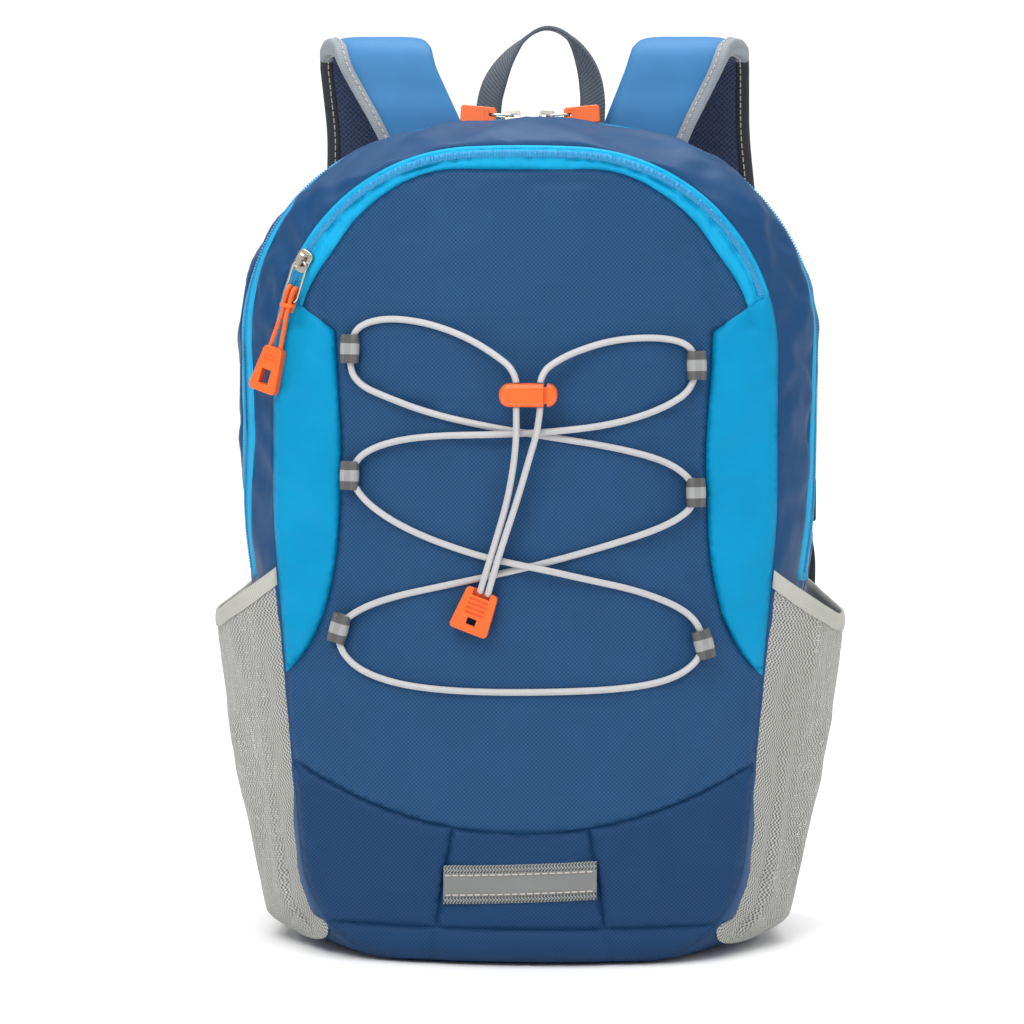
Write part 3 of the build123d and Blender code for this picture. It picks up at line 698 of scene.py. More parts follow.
def free_cord(name, route, blend=None):
    """A cord along its route on the front."""
    at = [(x, float(front_y(x, z)) - CORD_LIFT - lift, z) for x, z, lift in route]
    line = cord_points(name, at)
    mesh = Mesh()
    tube(mesh, line, CORD_D / 2)
    made = mesh.build(name, [CORD])
    if blend:
        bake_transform(made)
    else:
        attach(made, "bag")
    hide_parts(name.replace("_cord", ""))


free_cord("bungee_lacing_cord", LACING)
for side, route, length in (("left", LEAD_LEFT, LEAD_LENGTHS[0]), ("right", LEAD_RIGHT, LEAD_LENGTHS[1])):
    free_cord(f"bungee_lead_{side}_cord", route, blend=(0, -1))
for side, route, length in (("left", TAIL_LEFT, TAIL_LENGTHS[0]), ("right", TAIL_RIGHT, TAIL_LENGTHS[1])):
    free_cord(f"bungee_tail_{side}_cord", route, blend=(-1, 0))


# ---- front face ----
def accent_line():
    """Right accent panel's edge, its corners softened."""
    return rounded(ACCENT, ACCENT_RADII, 8)


def curved_seam_line():
    """Seam that dips across the front, from side to side."""
    (half, side_z), (_, middle_z) = CURVED_SEAM_SIDE, CURVED_SEAM_MIDDLE
    sag = side_z - middle_z
    radius = (half**2 + sag**2) / (2 * sag)
    centre_z = middle_z + radius
    reach = math.asin(half / radius)
    turns = np.linspace(-reach * 1.12, reach * 1.12, 61)
    return np.stack([radius * np.sin(turns), centre_z - radius * np.cos(turns)], axis=1)


def band_line():
    """Inner edge of the front zip's band: it cuts the panel's two top corners off at a slant."""
    line = half_outline(SEAM_OUTLINE, ZIP_BAND)
    at = line[:, 1]
    flat_top = np.exp(-(((line[:, 0] - 52) / 24) ** 2)) * (at > 360) * CORNER_RISE
    hollow = np.exp(-(((at - 372) / 16) ** 2)) * (at > 330) * CORNER_HOLLOW
    return np.stack([line[:, 0] - hollow, at + flat_top], axis=1)


def zip_line(edge):
    """Right half of the front zip's line that lies this far inside the seam, above the zip's foot."""
    line = band_line() if edge == ZIP_BAND else half_outline(SEAM_OUTLINE, edge)
    return line[line[:, 1] > ZIP_FOOT]


def mirrored(half):
    """Right half of a line and its mirror image, joined at the middle."""
    return np.concatenate([half, half[::-1][1:] * (-1, 1)])


def dense(line, step=3.0):
    """The line with evenly spaced points, about a step apart."""
    return resample(line, max(2, int(lengths_along(line)[-1] / step)))


class FrontFace:
    """The crowned front as one triangle mesh whose edges follow every seam, cut into panels."""

    def __init__(self):
        self.loop = full_outline(SEAM_OUTLINE)
        self.accent = accent_line()
        closed = np.concatenate([self.loop, self.loop[:1]])
        accent, low_seam = self.accent[inside(self.accent, self.loop)], curved_seam_line()
        leg = dense(np.array([(TRAPEZOID_TOP, TRAPEZOID_Z), (TRAPEZOID_FOOT, 0.0)]))
        sewn_leg = leg[leg[:, 1] < self.seam_z(leg[:, 0])]
        base_seam = np.array([(-SEAM_OUTLINE[0], BASE_TOP), (SEAM_OUTLINE[0], BASE_TOP)])
        self.seams = [closed, accent, accent * (-1, 1), low_seam[inside(low_seam, self.loop)],
                      sewn_leg, sewn_leg * (-1, 1), base_seam]
        self.zip_seams = [zip_line(ZIP_BAND), zip_line(ZIP_BAND) * (-1, 1)]
        lines = [closed, dense(self.accent), dense(self.accent) * (-1, 1), dense(low_seam), leg,
                 leg * (-1, 1), dense(base_seam)]
        lines += [mirrored(zip_line(edge)) for edge in (TAPE_EDGE, COIL_EDGE, ZIP_BAND)]
        self.flat, self.triangles = fill_outline(self.loop, lines, 3.3, 1.5)
        self.centres = self.flat[self.triangles].mean(axis=1)

    def seam_z(self, x):
        """Height of the curved seam at x."""
        line = curved_seam_line()
        return np.interp(x, line[:, 0], line[:, 1])

    def in_accent(self, flat):
        """True for the points within either accent panel."""
        return inside(np.stack([np.abs(flat[:, 0]), flat[:, 1]], axis=1), self.accent)

    def place(self):
        """Stands the flat mesh on the crowned front, pulled in at its seams and puffed between them."""
        flat = self.flat
        x, z = flat[:, 0], flat[:, 1]
        near_zip = np.where(z > 330, distance_to(flat, self.zip_seams), np.inf)
        gap = np.minimum(distance_to(flat, self.seams), near_zip)
        sink = 1.2 * np.exp(-(gap / np.interp(z, [40, 90], [2.6, 1.8])) ** 2)
        fullness = 1 - np.exp(-gap / np.interp(z, [40, 90], [14, 9]))
        puff = np.where(self.in_accent(flat), 4.0, 1.4) * fullness
        broad = np.interp(z, [20, 70], [0.2, 1.2]) * ripple(flat, (46, 70), 3.1) * fullness
        y = front_y(x, z) + sink - puff + broad + tucked_under(z)
        self.points = np.stack([x, y, z], axis=1)
        self.held = gap < 0.6

    def settle(self, move):
        """Adds the simulated move, kept shallow so that the cord still lies on the cloth."""
        move = move * np.array([0.6, 1.0, 0.6]) * np.clip((self.flat[:, 1:] - BASE_TOP) / 25, 0, 1)
        outward_limit = np.where(self.in_accent(self.flat), -1.2, -0.35)
        move[:, 1] = np.clip(move[:, 1], outward_limit, 2.0)
        self.points += move

    def region(self):
        """Name of the panel that each triangle belongs to."""
        c = self.centres
        x, z = c[:, 0], c[:, 1]
        side = np.where(x > 0, "right", "left").astype(object)
        leg = np.interp(z, [0, TRAPEZOID_Z], [TRAPEZOID_FOOT, TRAPEZOID_TOP])
        lower = np.where(np.abs(x) < leg, "lower_center_panel", "lower_panel_" + side)
        name = np.where(z < self.seam_z(x), lower, "front_panel")
        name[z < BASE_TOP] = "base_panel"
        for edge, label in ((ZIP_BAND, "front_zip_tape_inner"), (COIL_EDGE, "front_zip_coil"),
                            (TAPE_EDGE, "front_zip_tape_outer")):
            half = band_line() if edge == ZIP_BAND else half_outline(SEAM_OUTLINE, edge)
            name[(z > ZIP_FOOT) & ~inside(c, mirrored(half))] = label
        accent = self.in_accent(c)
        name[accent] = "side_accent_" + side[accent]
        return name


# ---- gusset round the bag ----
class Gusset:
    """Wrap from the front seam to the back seam; its rows follow the main zip's leaning tracks."""

    def __init__(self):
        self.front = full_outline(SEAM_OUTLINE)
        self.wide = full_outline(WIDE_OUTLINE)
        self.back = full_outline(BACK_OUTLINE)
        self.count = len(self.front)
        self.along = lengths_along(self.wide)
        self.start = front_y(self.front[:, 0], self.front[:, 1]) + tucked_under(self.front[:, 1])
        lean = math.tan(math.radians(MAIN_ZIP_TILT))
        on_left = np.clip((-self.wide[:, 0] - 90) / 40, 0, 1) * np.clip((self.wide[:, 1] - 215) / 60, 0, 1)
        track = MAIN_ZIP_Y + (self.wide[:, 1] - MAIN_ZIP_Z) * lean - MAIN_ZIP_LEFT_SHIFT * on_left
        edges = [self.start] + [track + band for band in MAIN_ZIP_BANDS] + [np.full(self.count, BACK_Y)]
        rows = [self.start]
        for low, high, count in zip(edges, edges[1:], GUSSET_ROWS):
            rows += [low + (high - low) * i / count for i in range(1, count + 1)]
        self.depth = np.array(rows)
        self.group = np.repeat(np.arange(len(GUSSET_ROWS)), GUSSET_ROWS)
        self.local_z = MAIN_ZIP_Z + (self.wide[:, 1] - MAIN_ZIP_Z) / math.cos(math.radians(MAIN_ZIP_TILT))

    def wrap(self, index, y):
        """Point of the wrap beside outline point index, at depth y."""
        front, wide, back = self.front[index], self.wide[index], self.back[index]
        start = self.start[index]
        if y < WIDE_Y:
            share = math.sin(max(0.0, (y - start) / (WIDE_Y - start)) * math.pi / 2) ** 0.85
            at = front + (wide - front) * share
        else:
            share = 1 - math.cos(min(1.0, (y - WIDE_Y) / (BACK_Y - WIDE_Y)) * math.pi / 2)
            at = wide + (back - wide) * share
        return at[0], y, at[1]

    def place(self):
        """Wrap with soft folds across it and pulled in at its seams."""
        points = np.array([[self.wrap(j, y) for j, y in enumerate(row)] for row in self.depth])
        self.normals = self.face_out(points)
        front_edge, rear_edge = (self.depth[sum(GUSSET_ROWS[:k])] for k in (1, 4))
        on_zip = np.abs(self.depth - (front_edge + rear_edge) / 2)
        from_front = self.depth - self.depth[0]
        zipped = self.local_z > MAIN_ZIP_END
        zip_gap = np.where(zipped, np.maximum(on_zip - MAIN_ZIP_BANDS[-1] / 2, 0), 40.0)
        seam = np.minimum(np.minimum(from_front, BACK_Y - self.depth), zip_gap)
        fullness = 1 - np.exp(-seam / 9)
        flat = np.stack([np.broadcast_to(self.along, self.depth.shape), self.depth], axis=2).reshape(-1, 2)
        short = ripple(flat, (15, 34), 5.3).reshape(self.depth.shape)
        broad = ripple(flat, (42, 60), 9.7).reshape(self.depth.shape)
        slant = np.stack([flat[:, 0] + flat[:, 1] * 0.9, flat[:, 1]], axis=1)
        slanted = ripple(slant, (20, 90), 2.2).reshape(self.depth.shape)
        upper = np.clip((points[:, :, 2] - 150) / 120, 0.0, 1)
        swell = fullness * upper * (1.6 + 1.8 * broad + 2.4 * slanted)
        pucker = 1.1 * short * np.exp(-seam / 16) * (seam > 0.5) * upper
        sink = 1.2 * np.exp(-(from_front / 2.6) ** 2)
        low = np.clip((BASE_TOP - points[:, :, 2]) / BASE_TOP, 0, 1)
        offset = (swell + pucker) * (1 - low)
        self.points = points + self.normals * offset[:, :, None]
        self.points[:, :, 1] += sink
        self.points[:, :, 2] = np.maximum(self.points[:, :, 2], 0.2)
        between = (on_zip < MAIN_ZIP_BANDS[-1] / 2 + 0.1) & zipped
        self.held = (seam < 0.8) | (points[:, :, 2] < BASE_TOP + 1) | between

    def face_out(self, points):
        """Outward direction at each point of the wrap."""
        round_it = np.roll(points, -1, axis=1) - np.roll(points, 1, axis=1)
        through = np.gradient(points, axis=0)
        across = np.cross(through, round_it)
        size = np.linalg.norm(across, axis=2, keepdims=True)
        normals = across / np.maximum(size, 1e-9)
        outwards = points[:, :, [0, 2]] - np.array([0, 200])
        sign = np.sign((normals[:, :, [0, 2]] * outwards).sum(axis=2, keepdims=True))
        return normals * np.where(sign == 0, 1, sign)

    def label(self):
        """Panel name of each quad, as rows x columns."""
        following = np.roll(np.arange(self.count), -1)
        height = (self.wide[:, 1] + self.wide[following, 1]) / 2
        local = (self.local_z + self.local_z[following]) / 2
        names = np.empty((len(self.group), self.count), object)
        zip_names = {1: "main_zip_tape_front", 2: "main_zip_coil", 3: "main_zip_tape_rear"}
        middle = sum(GUSSET_ROWS[:2]) + 1
        for i, group in enumerate(self.group):
            names[i, :] = "front_gusset" if i < middle else "rear_gusset"
            if group in zip_names:
                names[i, local > MAIN_ZIP_END] = zip_names[group]
        low = (self.points[:-1, :, 2] + self.points[1:, :, 2]) / 2
        low = (low + low[:, following]) / 2
        names[(low < BASE_TOP) & (height < 60)[None, :]] = "base_panel"
        return names


def look_up(place, lengths, data):
    """Row of data, in between its rows, at a distance along the line."""
    return np.array([np.interp(place, lengths, data[:, k]) for k in range(3)])


def zip_teeth(mesh, places, across, outward, pitch, width):
    """Row of rounded zip coil turns along a line of places, in the mesh's second material."""
    lengths = lengths_along(places)
    for along in np.arange(pitch / 2, lengths[-1], pitch):
        at, side, out = (look_up(along, lengths, data) for data in (places, across, outward))
        side, out = side / np.linalg.norm(side), out / np.linalg.norm(out)
        run = np.cross(side, out)
        profile = [(-0.5, 0), (-0.42, 0.75), (-0.16, 1), (0.16, 1), (0.42, 0.75), (0.5, 0)]
        points = []
        for end in (-1, 1):
            for u, h in profile:
                points.append(at + side * u * width + out * (h - 0.1) + run * end * pitch * 0.3)
        faces = [(k, k + 1, k + 7, k + 6) for k in range(5)] + [tuple(range(5, -1, -1)), tuple(range(6, 12))]
        mesh.add(points, faces, slot=1)


def stitches(mesh, line, outward, dash, gap, radius):
    """Row of thread dashes lying on a surface."""
    lifted = np.asarray(line, float) + np.asarray(outward, float) * radius * 0.4
    lengths = lengths_along(np.asarray(line, float))
    for start in np.arange(gap / 2, lengths[-1] - dash, dash + gap):
        dash_line = [look_up(start + share * dash, lengths, lifted) for share in (0, 0.5, 1)]
        tube(mesh, dash_line, radius, sides=6)


front = FrontFace()
front.place()
wrap = Gusset()
wrap.place()


# ---- side pockets ----
def pocket_section(z):
    """Front seam point, widest point and rear seam point of the right pocket at a height."""
    table = np.array(POCKET, float)
    half, rear_x = (float(np.interp(z, table[:, 0], table[:, k])) for k in (1, 2))
    seam = half_outline(SEAM_OUTLINE)
    front_x = float(np.interp(z, seam[17:110, 1], seam[17:110, 0])) + 0.6
    return (front_x, float(front_y(front_x, z)) + 2.0), (half, WIDE_Y), (rear_x, POCKET_REAR_Y)


def arc_through(a, b, c, shares):
    """Points at the given shares along the arc through a, b and c in the plane."""
    a, b, c = (complex(*p) for p in (a, b, c))
    w = (c - a) / (b - a)
    centre = a - (a - b) * (w - abs(w) ** 2) / (2j * w.imag)
    radius = abs(a - centre)
    start, middle, end = (math.atan2((p - centre).imag, (p - centre).real) for p in (a, b, c))
    middle = start + (middle - start + math.pi) % (2 * math.pi) - math.pi
    end = middle + (end - middle + math.pi) % (2 * math.pi) - math.pi
    turns = start + (end - start) * np.asarray(shares)
    return np.stack([centre.real + radius * np.cos(turns), centre.imag + radius * np.sin(turns)], axis=1)


def hem_top(x):
    """Height of the pocket's mouth at x."""
    slope = (HEM_SIDE[1] - HEM_FRONT[1]) / (HEM_SIDE[0] - HEM_FRONT[0])
    return HEM_FRONT[1] + slope * (x - HEM_FRONT[0])


class Pocket:
    """Right side pocket as a sheet from the bag's front seam round to its rear seam."""

    def __init__(self):
        self.shares = np.linspace(0, 1, 49)
        self.levels = np.linspace(0, 1, 61)
        top = arc_through(*pocket_section(POCKET_MOUTH_Z), self.shares)
        self.top_z = hem_top(top[:, 0])
        points = np.zeros((len(self.levels), len(self.shares), 3))
        for i, level in enumerate(self.levels):
            for j, share in enumerate(self.shares):
                low = 5 + 15 * math.exp(-share / 0.1)
                z = low + level * (self.top_z[j] - low)
                x, y = arc_through(*pocket_section(z), [share])[0]
                points[i, j] = (x, y, z)
        self.points = points
        across = np.linalg.norm(np.diff(points, axis=1), axis=2)
        self.weft = np.concatenate([np.zeros((len(self.levels), 1)), np.cumsum(across, axis=1)], axis=1)
        self.fold()

    def fold(self):
        """Pleats that gather the mesh at its foot, long soft creases and a slack, wavy top."""
        round_it = np.gradient(self.points, axis=1)
        up = np.gradient(self.points, axis=0)
        out = np.cross(round_it, up)
        out /= np.maximum(np.linalg.norm(out, axis=2, keepdims=True), 1e-9)
        out *= np.sign(out[:, :, :1].mean())
        share = self.shares[None, :]
        level = self.levels[:, None]
        edge = np.clip(np.minimum(share, 1 - share) / 0.07, 0, 1)
        pleat = -5.0 * np.exp(-((share - 0.20 + 0.10 * level) / 0.035) ** 2) * (1 - level) ** 1.2
        pleat += -3.0 * np.exp(-((share - 0.62) / 0.05) ** 2) * (1 - level) ** 1.5
        crease = -2.2 * np.exp(-((share - 0.34 + 0.16 * level) / 0.05) ** 2) * np.sin(math.pi * level)
        flat = np.stack(np.broadcast_arrays(share * 170, level * 190), axis=2).reshape(-1, 2)
        soft = ripple(flat, (26, 60), 4.4).reshape(self.points.shape[:2]) * 1.8
        fine = ripple(flat, (9, 22), 8.8).reshape(self.points.shape[:2]) * 0.5
        foot = np.clip(level / 0.05, 0, 1)
        self.points += out * ((pleat + crease + soft + fine) * edge * foot)[:, :, None]
        self.out = out
        self.held = np.broadcast_to((share < 0.012) | (share > 0.988) | (level < 0.01) | (level > 0.985),
                                    self.points.shape[:2])


pocket = Pocket()


def softened(field, passes):
    """Grid of moves with its finest crumples averaged away."""
    for _ in range(passes):
        inner = (field[:-2] + field[2:] + 2 * field[1:-1]) / 4
        field = np.concatenate([field[:1], inner, field[-1:]])
        inner = (field[:, :-2] + field[:, 2:] + 2 * field[:, 1:-1]) / 4
        field = np.concatenate([field[:, :1], inner, field[:, -1:]], axis=1)
    return field


# ---- one cloth pass for the front, the wrap and the pockets ----
def sheet_job(sheet, closed, *settings):
    """Simulation job of a sheet kept as a grid."""
    grid = Mesh()
    grid.grid(sheet.points, sheet.points, closed=closed)
    return (sheet.points.reshape(-1, 3), grid.faces, sheet.held.ravel(), *settings)


moves = simulate([
    (front.points, [tuple(int(i) for i in t) for t in front.triangles], front.held, 0.15, -0.018, 2.2),
    sheet_job(wrap, True, 0.25, -0.035, 3.5),
    sheet_job(pocket, False, 0.12, -0.03, 3.5),
])
front.settle(moves[0])
above_pockets = np.clip((wrap.points[:, :, 2:] - 190) / 50, 0, 1)
wrap.points += softened(moves[1].reshape(wrap.points.shape), 1) * above_pockets
pocket.points += softened(moves[2].reshape(pocket.points.shape), 2)


def orient(points, triangles, towards):
    """Triangles turned so that their normals point towards a direction."""
    a, b, c = (points[triangles[:, k]] for k in range(3))
    flip = (np.cross(b - a, c - a) @ np.array(towards, float)) < 0
    turned = triangles.copy()
    turned[flip] = turned[flip][:, ::-1]
    return turned


def make_front():
    """Sewn front panels and the front zip; returns what the base's own piece needs of the mesh."""
    names = front.region()
    triangles = orient(front.points, front.triangles, (0, -1, 0))
    cloth = np.stack([front.points[:, 0], front.points[:, 2], np.zeros(len(front.points))], axis=1)
    # The lower panels take the darker oxford copy, which is painted shade for the dimmer light low on the
    # bag.
    finishes = {
        "front_panel": (OXFORD, "blue_oxford"), "lower_center_panel": (OXFORD_SHADED, "blue_oxford"),
        "lower_panel_left": (OXFORD_SHADED, "blue_oxford"), "lower_panel_right": (OXFORD_SHADED, "blue_oxford"),
        "side_accent_left": (CYAN, "cyan_nylon"), "side_accent_right": (CYAN, "cyan_nylon"),
        "front_zip_tape_outer": (ZIP_TAPE, "zip_cyan"), "front_zip_tape_inner": (ZIP_TAPE, "zip_cyan"),
        "front_zip_coil": (ZIP_TAPE, "zip_cyan"),
    }
    for name, (material, slot) in finishes.items():
        mesh = Mesh()
        mesh.add(front.points, [tuple(t) for t in triangles[names == name]], cloth)
        materials = [material]
        if name == "front_zip_coil":
            materials.append(ZIP_COIL)
            add_front_teeth(mesh)
        finish_piece(mesh.build(name + "_cloth", materials), "bag", [name], thick=1.0)
    return cloth, [tuple(t) for t in triangles[names == "base_panel"]]


def add_front_teeth(mesh):
    """Coil turns along the front zip, from accent to accent."""
    half = zip_line((TAPE_EDGE + COIL_EDGE) / 2)
    line = mirrored(half[~inside(half, front.accent)])
    places = np.stack([line[:, 0], front_y(line[:, 0], line[:, 1]) + 0.1, line[:, 1]], axis=1)
    outward = np.array([tuple(front_normal(x)) for x in line[:, 0]])
    across = np.cross(np.gradient(places, axis=0), outward)
    zip_teeth(mesh, places, across, outward, 1.5, 2.6)


def make_wrap(front_cloth, base_triangles):
    """Gussets, main zip and the base that wraps under the bag."""
    names = wrap.label()
    cloth = np.stack([np.broadcast_to(wrap.along, wrap.points.shape[:2]), wrap.depth,
                      np.zeros(wrap.points.shape[:2])], axis=2)
    # The base takes the darker oxford copy, which is painted shade for the dimmer light low on the bag.
    finishes = {
        "front_gusset": (NYLON, "blue_nylon"), "rear_gusset": (NYLON, "blue_nylon"),
        "main_zip_tape_front": (ZIP_TAPE, "zip_cyan"), "main_zip_coil": (ZIP_TAPE, "zip_cyan"),
        "main_zip_tape_rear": (ZIP_TAPE, "zip_cyan"), "base_panel": (OXFORD_SHADED, "blue_oxford"),
    }
    for name, (material, slot) in finishes.items():
        mesh = Mesh()
        mesh.grid(wrap.points, cloth, closed=True, keep=names == name)
        materials = [material]
        if name == "main_zip_coil":
            materials.append(ZIP_COIL)
            add_main_teeth(mesh)
        if name == "base_panel":
            mesh.add(front.points, base_triangles, front_cloth)
        made = mesh.build(name + "_cloth", materials)
        make_normals_consistent(made)
        finish_piece(made, "bag", [name], thick=1.0)


def make_normals_consistent(made):
    """Turns each face so that it looks away from the bag's middle."""
    data = made.data
    middle = Vector((0, 0.01, 0.2))
    for polygon in data.polygons:
        if (polygon.center - middle).dot(polygon.normal) < 0:
            polygon.flip()
    data.update()


def add_main_teeth(mesh):
    """Coil turns along the main zip, over the top from end to end."""
    row = sum(GUSSET_ROWS[:2]) + 1
    usable = np.nonzero(wrap.local_z > MAIN_ZIP_END)[0]
    places = wrap.points[row, usable]
    outward = wrap.normals[row, usable]
    across = wrap.points[row + 1, usable] - wrap.points[row - 1, usable]
    zip_teeth(mesh, places, across, outward, 1.6, 3.0)


front_cloth, base_triangles = make_front()
make_wrap(front_cloth, base_triangles)


def make_pockets():
    """Mesh pockets and their folded hems, right and mirrored left."""
    hem_rows = max(2, round(HEM_HEIGHT / 185 * 60))
    split = len(pocket.levels) - 1 - hem_rows
    height = pocket.levels[:, None] * (pocket.top_z[None, :] - 1)
    cloth = np.stack([pocket.weft, height, np.zeros_like(height)], axis=2)
    for side, sign in (("right", 1), ("left", -1)):
        flip = np.array([sign, 1, 1])
        sheet = Mesh()
        sheet.grid(pocket.points[:split + 1] * flip, cloth[:split + 1])
        made = sheet.build(f"mesh_pocket_{side}_cloth", [KNIT])
        make_normals_consistent(made)
        finish_piece(made, "bag", [f"mesh_pocket_{side}"])
        make_hem(side, flip, split, cloth)


def make_hem(side, flip, split, cloth):
    """Doubled knit band along the pocket's mouth, a little full and wavy."""
    rows = pocket.points[split:]
    out = pocket.out[split:]
    count = len(rows)
    ring, hem_cloth = [], []
    for k in range(count):
        bulge = 1.0 + 0.5 * math.sin(math.pi * k / (count - 1))
        ring.append(rows[k] + out[k] * bulge)
        hem_cloth.append(cloth[split + k])
    for k in reversed(range(count)):
        ring.append(rows[k] - out[k] * 0.8)
        hem_cloth.append(cloth[split + k])
    points = np.array(ring + ring[:1])
    cloths = np.array(hem_cloth + hem_cloth[:1])
    hem = Mesh()
    hem.grid(points * flip, cloths)
    columns = points.shape[1]
    for column in (0, columns - 1):
        hem.faces.append(tuple(r * columns + column for r in range(len(points) - 1)))
        hem.slots.append(0)
    made = hem.build(f"pocket_hem_{side}_cloth", [HEM])
    finish_piece(made, "bag", [f"pocket_hem_{side}"])


make_pockets()


# ---- reflective webbing ----
def make_reflective():
    """Chain webbing with a silver tape held by two rows of pale stitches, sewn slightly askew."""
    tilt = math.radians(2.2)

    def strip(name, zs, lift, thick, material):
        u = np.linspace(-WEBBING_HALF, WEBBING_HALF, 49)
        rows = []
        profile = [(zs[0], -0.6), (zs[0], 0.4), (zs[0] + 0.5, 1.0)]
        profile += [(zs[0] + 0.5 + (zs[1] - zs[0] - 1) * k / 8, 1.0) for k in range(1, 8)]
        profile += [(zs[1] - 0.5, 1.0), (zs[1], 0.4), (zs[1], -0.6)]
        for z, share in profile:
            tilted = z + u * math.tan(tilt)
            y = front_y(u, tilted) - 1.2 - lift - thick * share
            rows.append(np.stack([u, y, tilted], axis=1))
        points = np.array(rows)
        cloth = np.stack([np.broadcast_to(u, points.shape[:2]),
                          np.broadcast_to(np.array([p[0] for p in profile])[:, None], points.shape[:2]),
                          np.zeros(points.shape[:2])], axis=2)
        mesh = Mesh()
        mesh.grid(points, cloth)
        count = points.shape[1]
        for column in (0, count - 1):
            mesh.faces.append(tuple(r * count + column for r in range(len(points))))
            mesh.slots.append(0)
        return finish_piece(mesh.build(name, [material]), "bag", [name.replace("_strip", "")])

    strip("reflective_webbing_strip", WEBBING_Z, 0.0, 1.2, CHAIN)
    strip("reflective_tape_strip", TAPE_Z, 1.2, 0.4, SILVER)
    rows = Mesh()
    u = np.linspace(-WEBBING_HALF + 0.5, WEBBING_HALF - 0.5, 41)
    for z in (TAPE_Z[0] + 0.9, TAPE_Z[1] - 0.9):
        tilted = z + u * math.tan(tilt)
        line = np.stack([u, front_y(u, tilted) - 2.95, tilted], axis=1)
        stitches(rows, line, [tuple(front_normal(x)) for x in u], 2.7, 1.2, radius=0.42)
    finish_piece(rows.build("reflective_stitches", [THREAD]), "bag")


make_reflective()


# ---- cord loops ----
def make_loops():
    """Folded ribbon round the cord, with its silver stripe, held in the accent's seam."""
    for name, (x, z, tilt) in LOOPS.items():
        straight = LOOP_W / 2 - LOOP_T / 2
        profile = [(centre, math.cos(turn), math.sin(turn))
                   for centre, low, high in ((straight, -90, 90), (-straight, 90, 270))
                   for turn in np.radians(np.linspace(low, high, 11))]
        lengths = np.linspace(0, 2 * math.pi * LOOP_T / 2 + 4 * straight, len(profile) + 1)[:-1]
        slope = math.atan2(x, math.sqrt(CROWN_R**2 - x**2))
        place = Matrix.Translation((x, float(front_y(x, z)) - CORD_LIFT - 0.4, z))
        place = place @ Matrix.Rotation(slope, 4, "Z") @ Matrix.Rotation(math.radians(-LEAN), 4, "X")
        place = place @ Matrix.Rotation(math.radians(tilt), 4, "Y")
        rows, cloth = [], []
        for radius, order in ((LOOP_T / 2, 1), (LOOP_T / 2 - LOOP_WALL, -1)):
            for k in range(9)[::order]:
                height = -LOOP_H / 2 + LOOP_H * k / 8
                curl = 0.35 * (2 * k / 8 - 1) ** 2
                size = radius - curl
                rows.append([tuple(place @ Vector((c + size * a, size * b, height))) for c, a, b in profile])
                cloth.append([(length, height, 0) for length in lengths])
        mesh = Mesh()
        mesh.grid(np.array(rows + rows[:1]), np.array(cloth + cloth[:1]), closed=True)
        made = mesh.build(f"cord_loop_{name}_ribbon", [RIBBON])
        finish_piece(made, "bag", [f"cord_loop_{name}"])


make_loops()


# ---- front zip's pull cord ----
def make_pull_cord():
    """Doubled orange cord hitched on the ring, bound once, its two strands spreading to the grip."""
    x, z = FRONT_SLIDER
    slope = math.atan2(x, math.sqrt(CROWN_R**2 - x**2))
    hang = Matrix.Translation((x, float(front_y(x, z)), z)) @ Matrix.Rotation(slope, 4, "Z")
    hang = hang @ Matrix.Rotation(math.radians(-LEAN), 4, "X")
    hang = hang @ Matrix.Translation((0, -FRONT_SLIDER_GAP - BRIDGE_HOLE, 0))
    hang = hang @ Matrix.Rotation(math.radians(PULL_ANGLE), 4, "Y")
    foot = -PULL_CORD_FOOT - 1.5
    ring_foot = -RING_L
    mesh = Mesh()
    for side in (-1, 1):
        route = [
            (side * 1.5, 2.3, ring_foot - 4.5), (side * 1.7, 2.6, ring_foot + 1),
            (side * 1.7, 1.8, ring_foot + 6.5), (side * 1.7, -1.0, ring_foot + 9),
            (side * 1.7, -2.6, ring_foot + 6), (side * 1.7, -2.4, ring_foot),
            (side * 1.4, -1.4, ring_foot - 6), (side * 2.2, -0.6, ring_foot - 14), (side * 3.2, 0, foot),
        ]
        line = cord_points("strand", [tuple(hang @ Vector(p)) for p in route])
        tube(mesh, line, 1.3, sides=10)
    turns = [2 * math.pi * k / 20 for k in range(21)]
    binding = [(3.1 * math.cos(t), -0.4 + 3.0 * math.sin(t), ring_foot - 1.6 + 0.5 * math.cos(t))
               for t in turns]
    tube(mesh, [hang @ Vector(p) for p in binding], 1.2, sides=10)
    made = mesh.build("front_pull_cord_tied", [ORANGE_CORD])
    finish_piece(made, "front_pull", ["front_pull_cord"])


make_pull_cord()


# ---- shoulder straps ----
def build_ribbon(name, material, centres, across, normals, width, thick):
    """Flat webbing along a line: a thin rounded section swept with its cloth coordinates."""
    lengths = lengths_along(centres)
    half = [(-0.5, 0.2), (-0.485, 0.5), (-0.3, 0.5), (-0.1, 0.5),
            (0.1, 0.5), (0.3, 0.5), (0.485, 0.5), (0.5, 0.2)]
    section = half + [(-s, -h) for s, h in half]
    points = np.array([[centres[i] + across[i] * s * width + normals[i] * h * thick for s, h in section]
                       for i in range(len(centres))])
    cloth = np.array([[(length, s * width, 0) for s, h in section] for length in lengths])
    mesh = Mesh()
    mesh.grid(points, cloth, closed=True, capped=True)
    made = mesh.build(name, [material])
    recalculate(made)
    return made


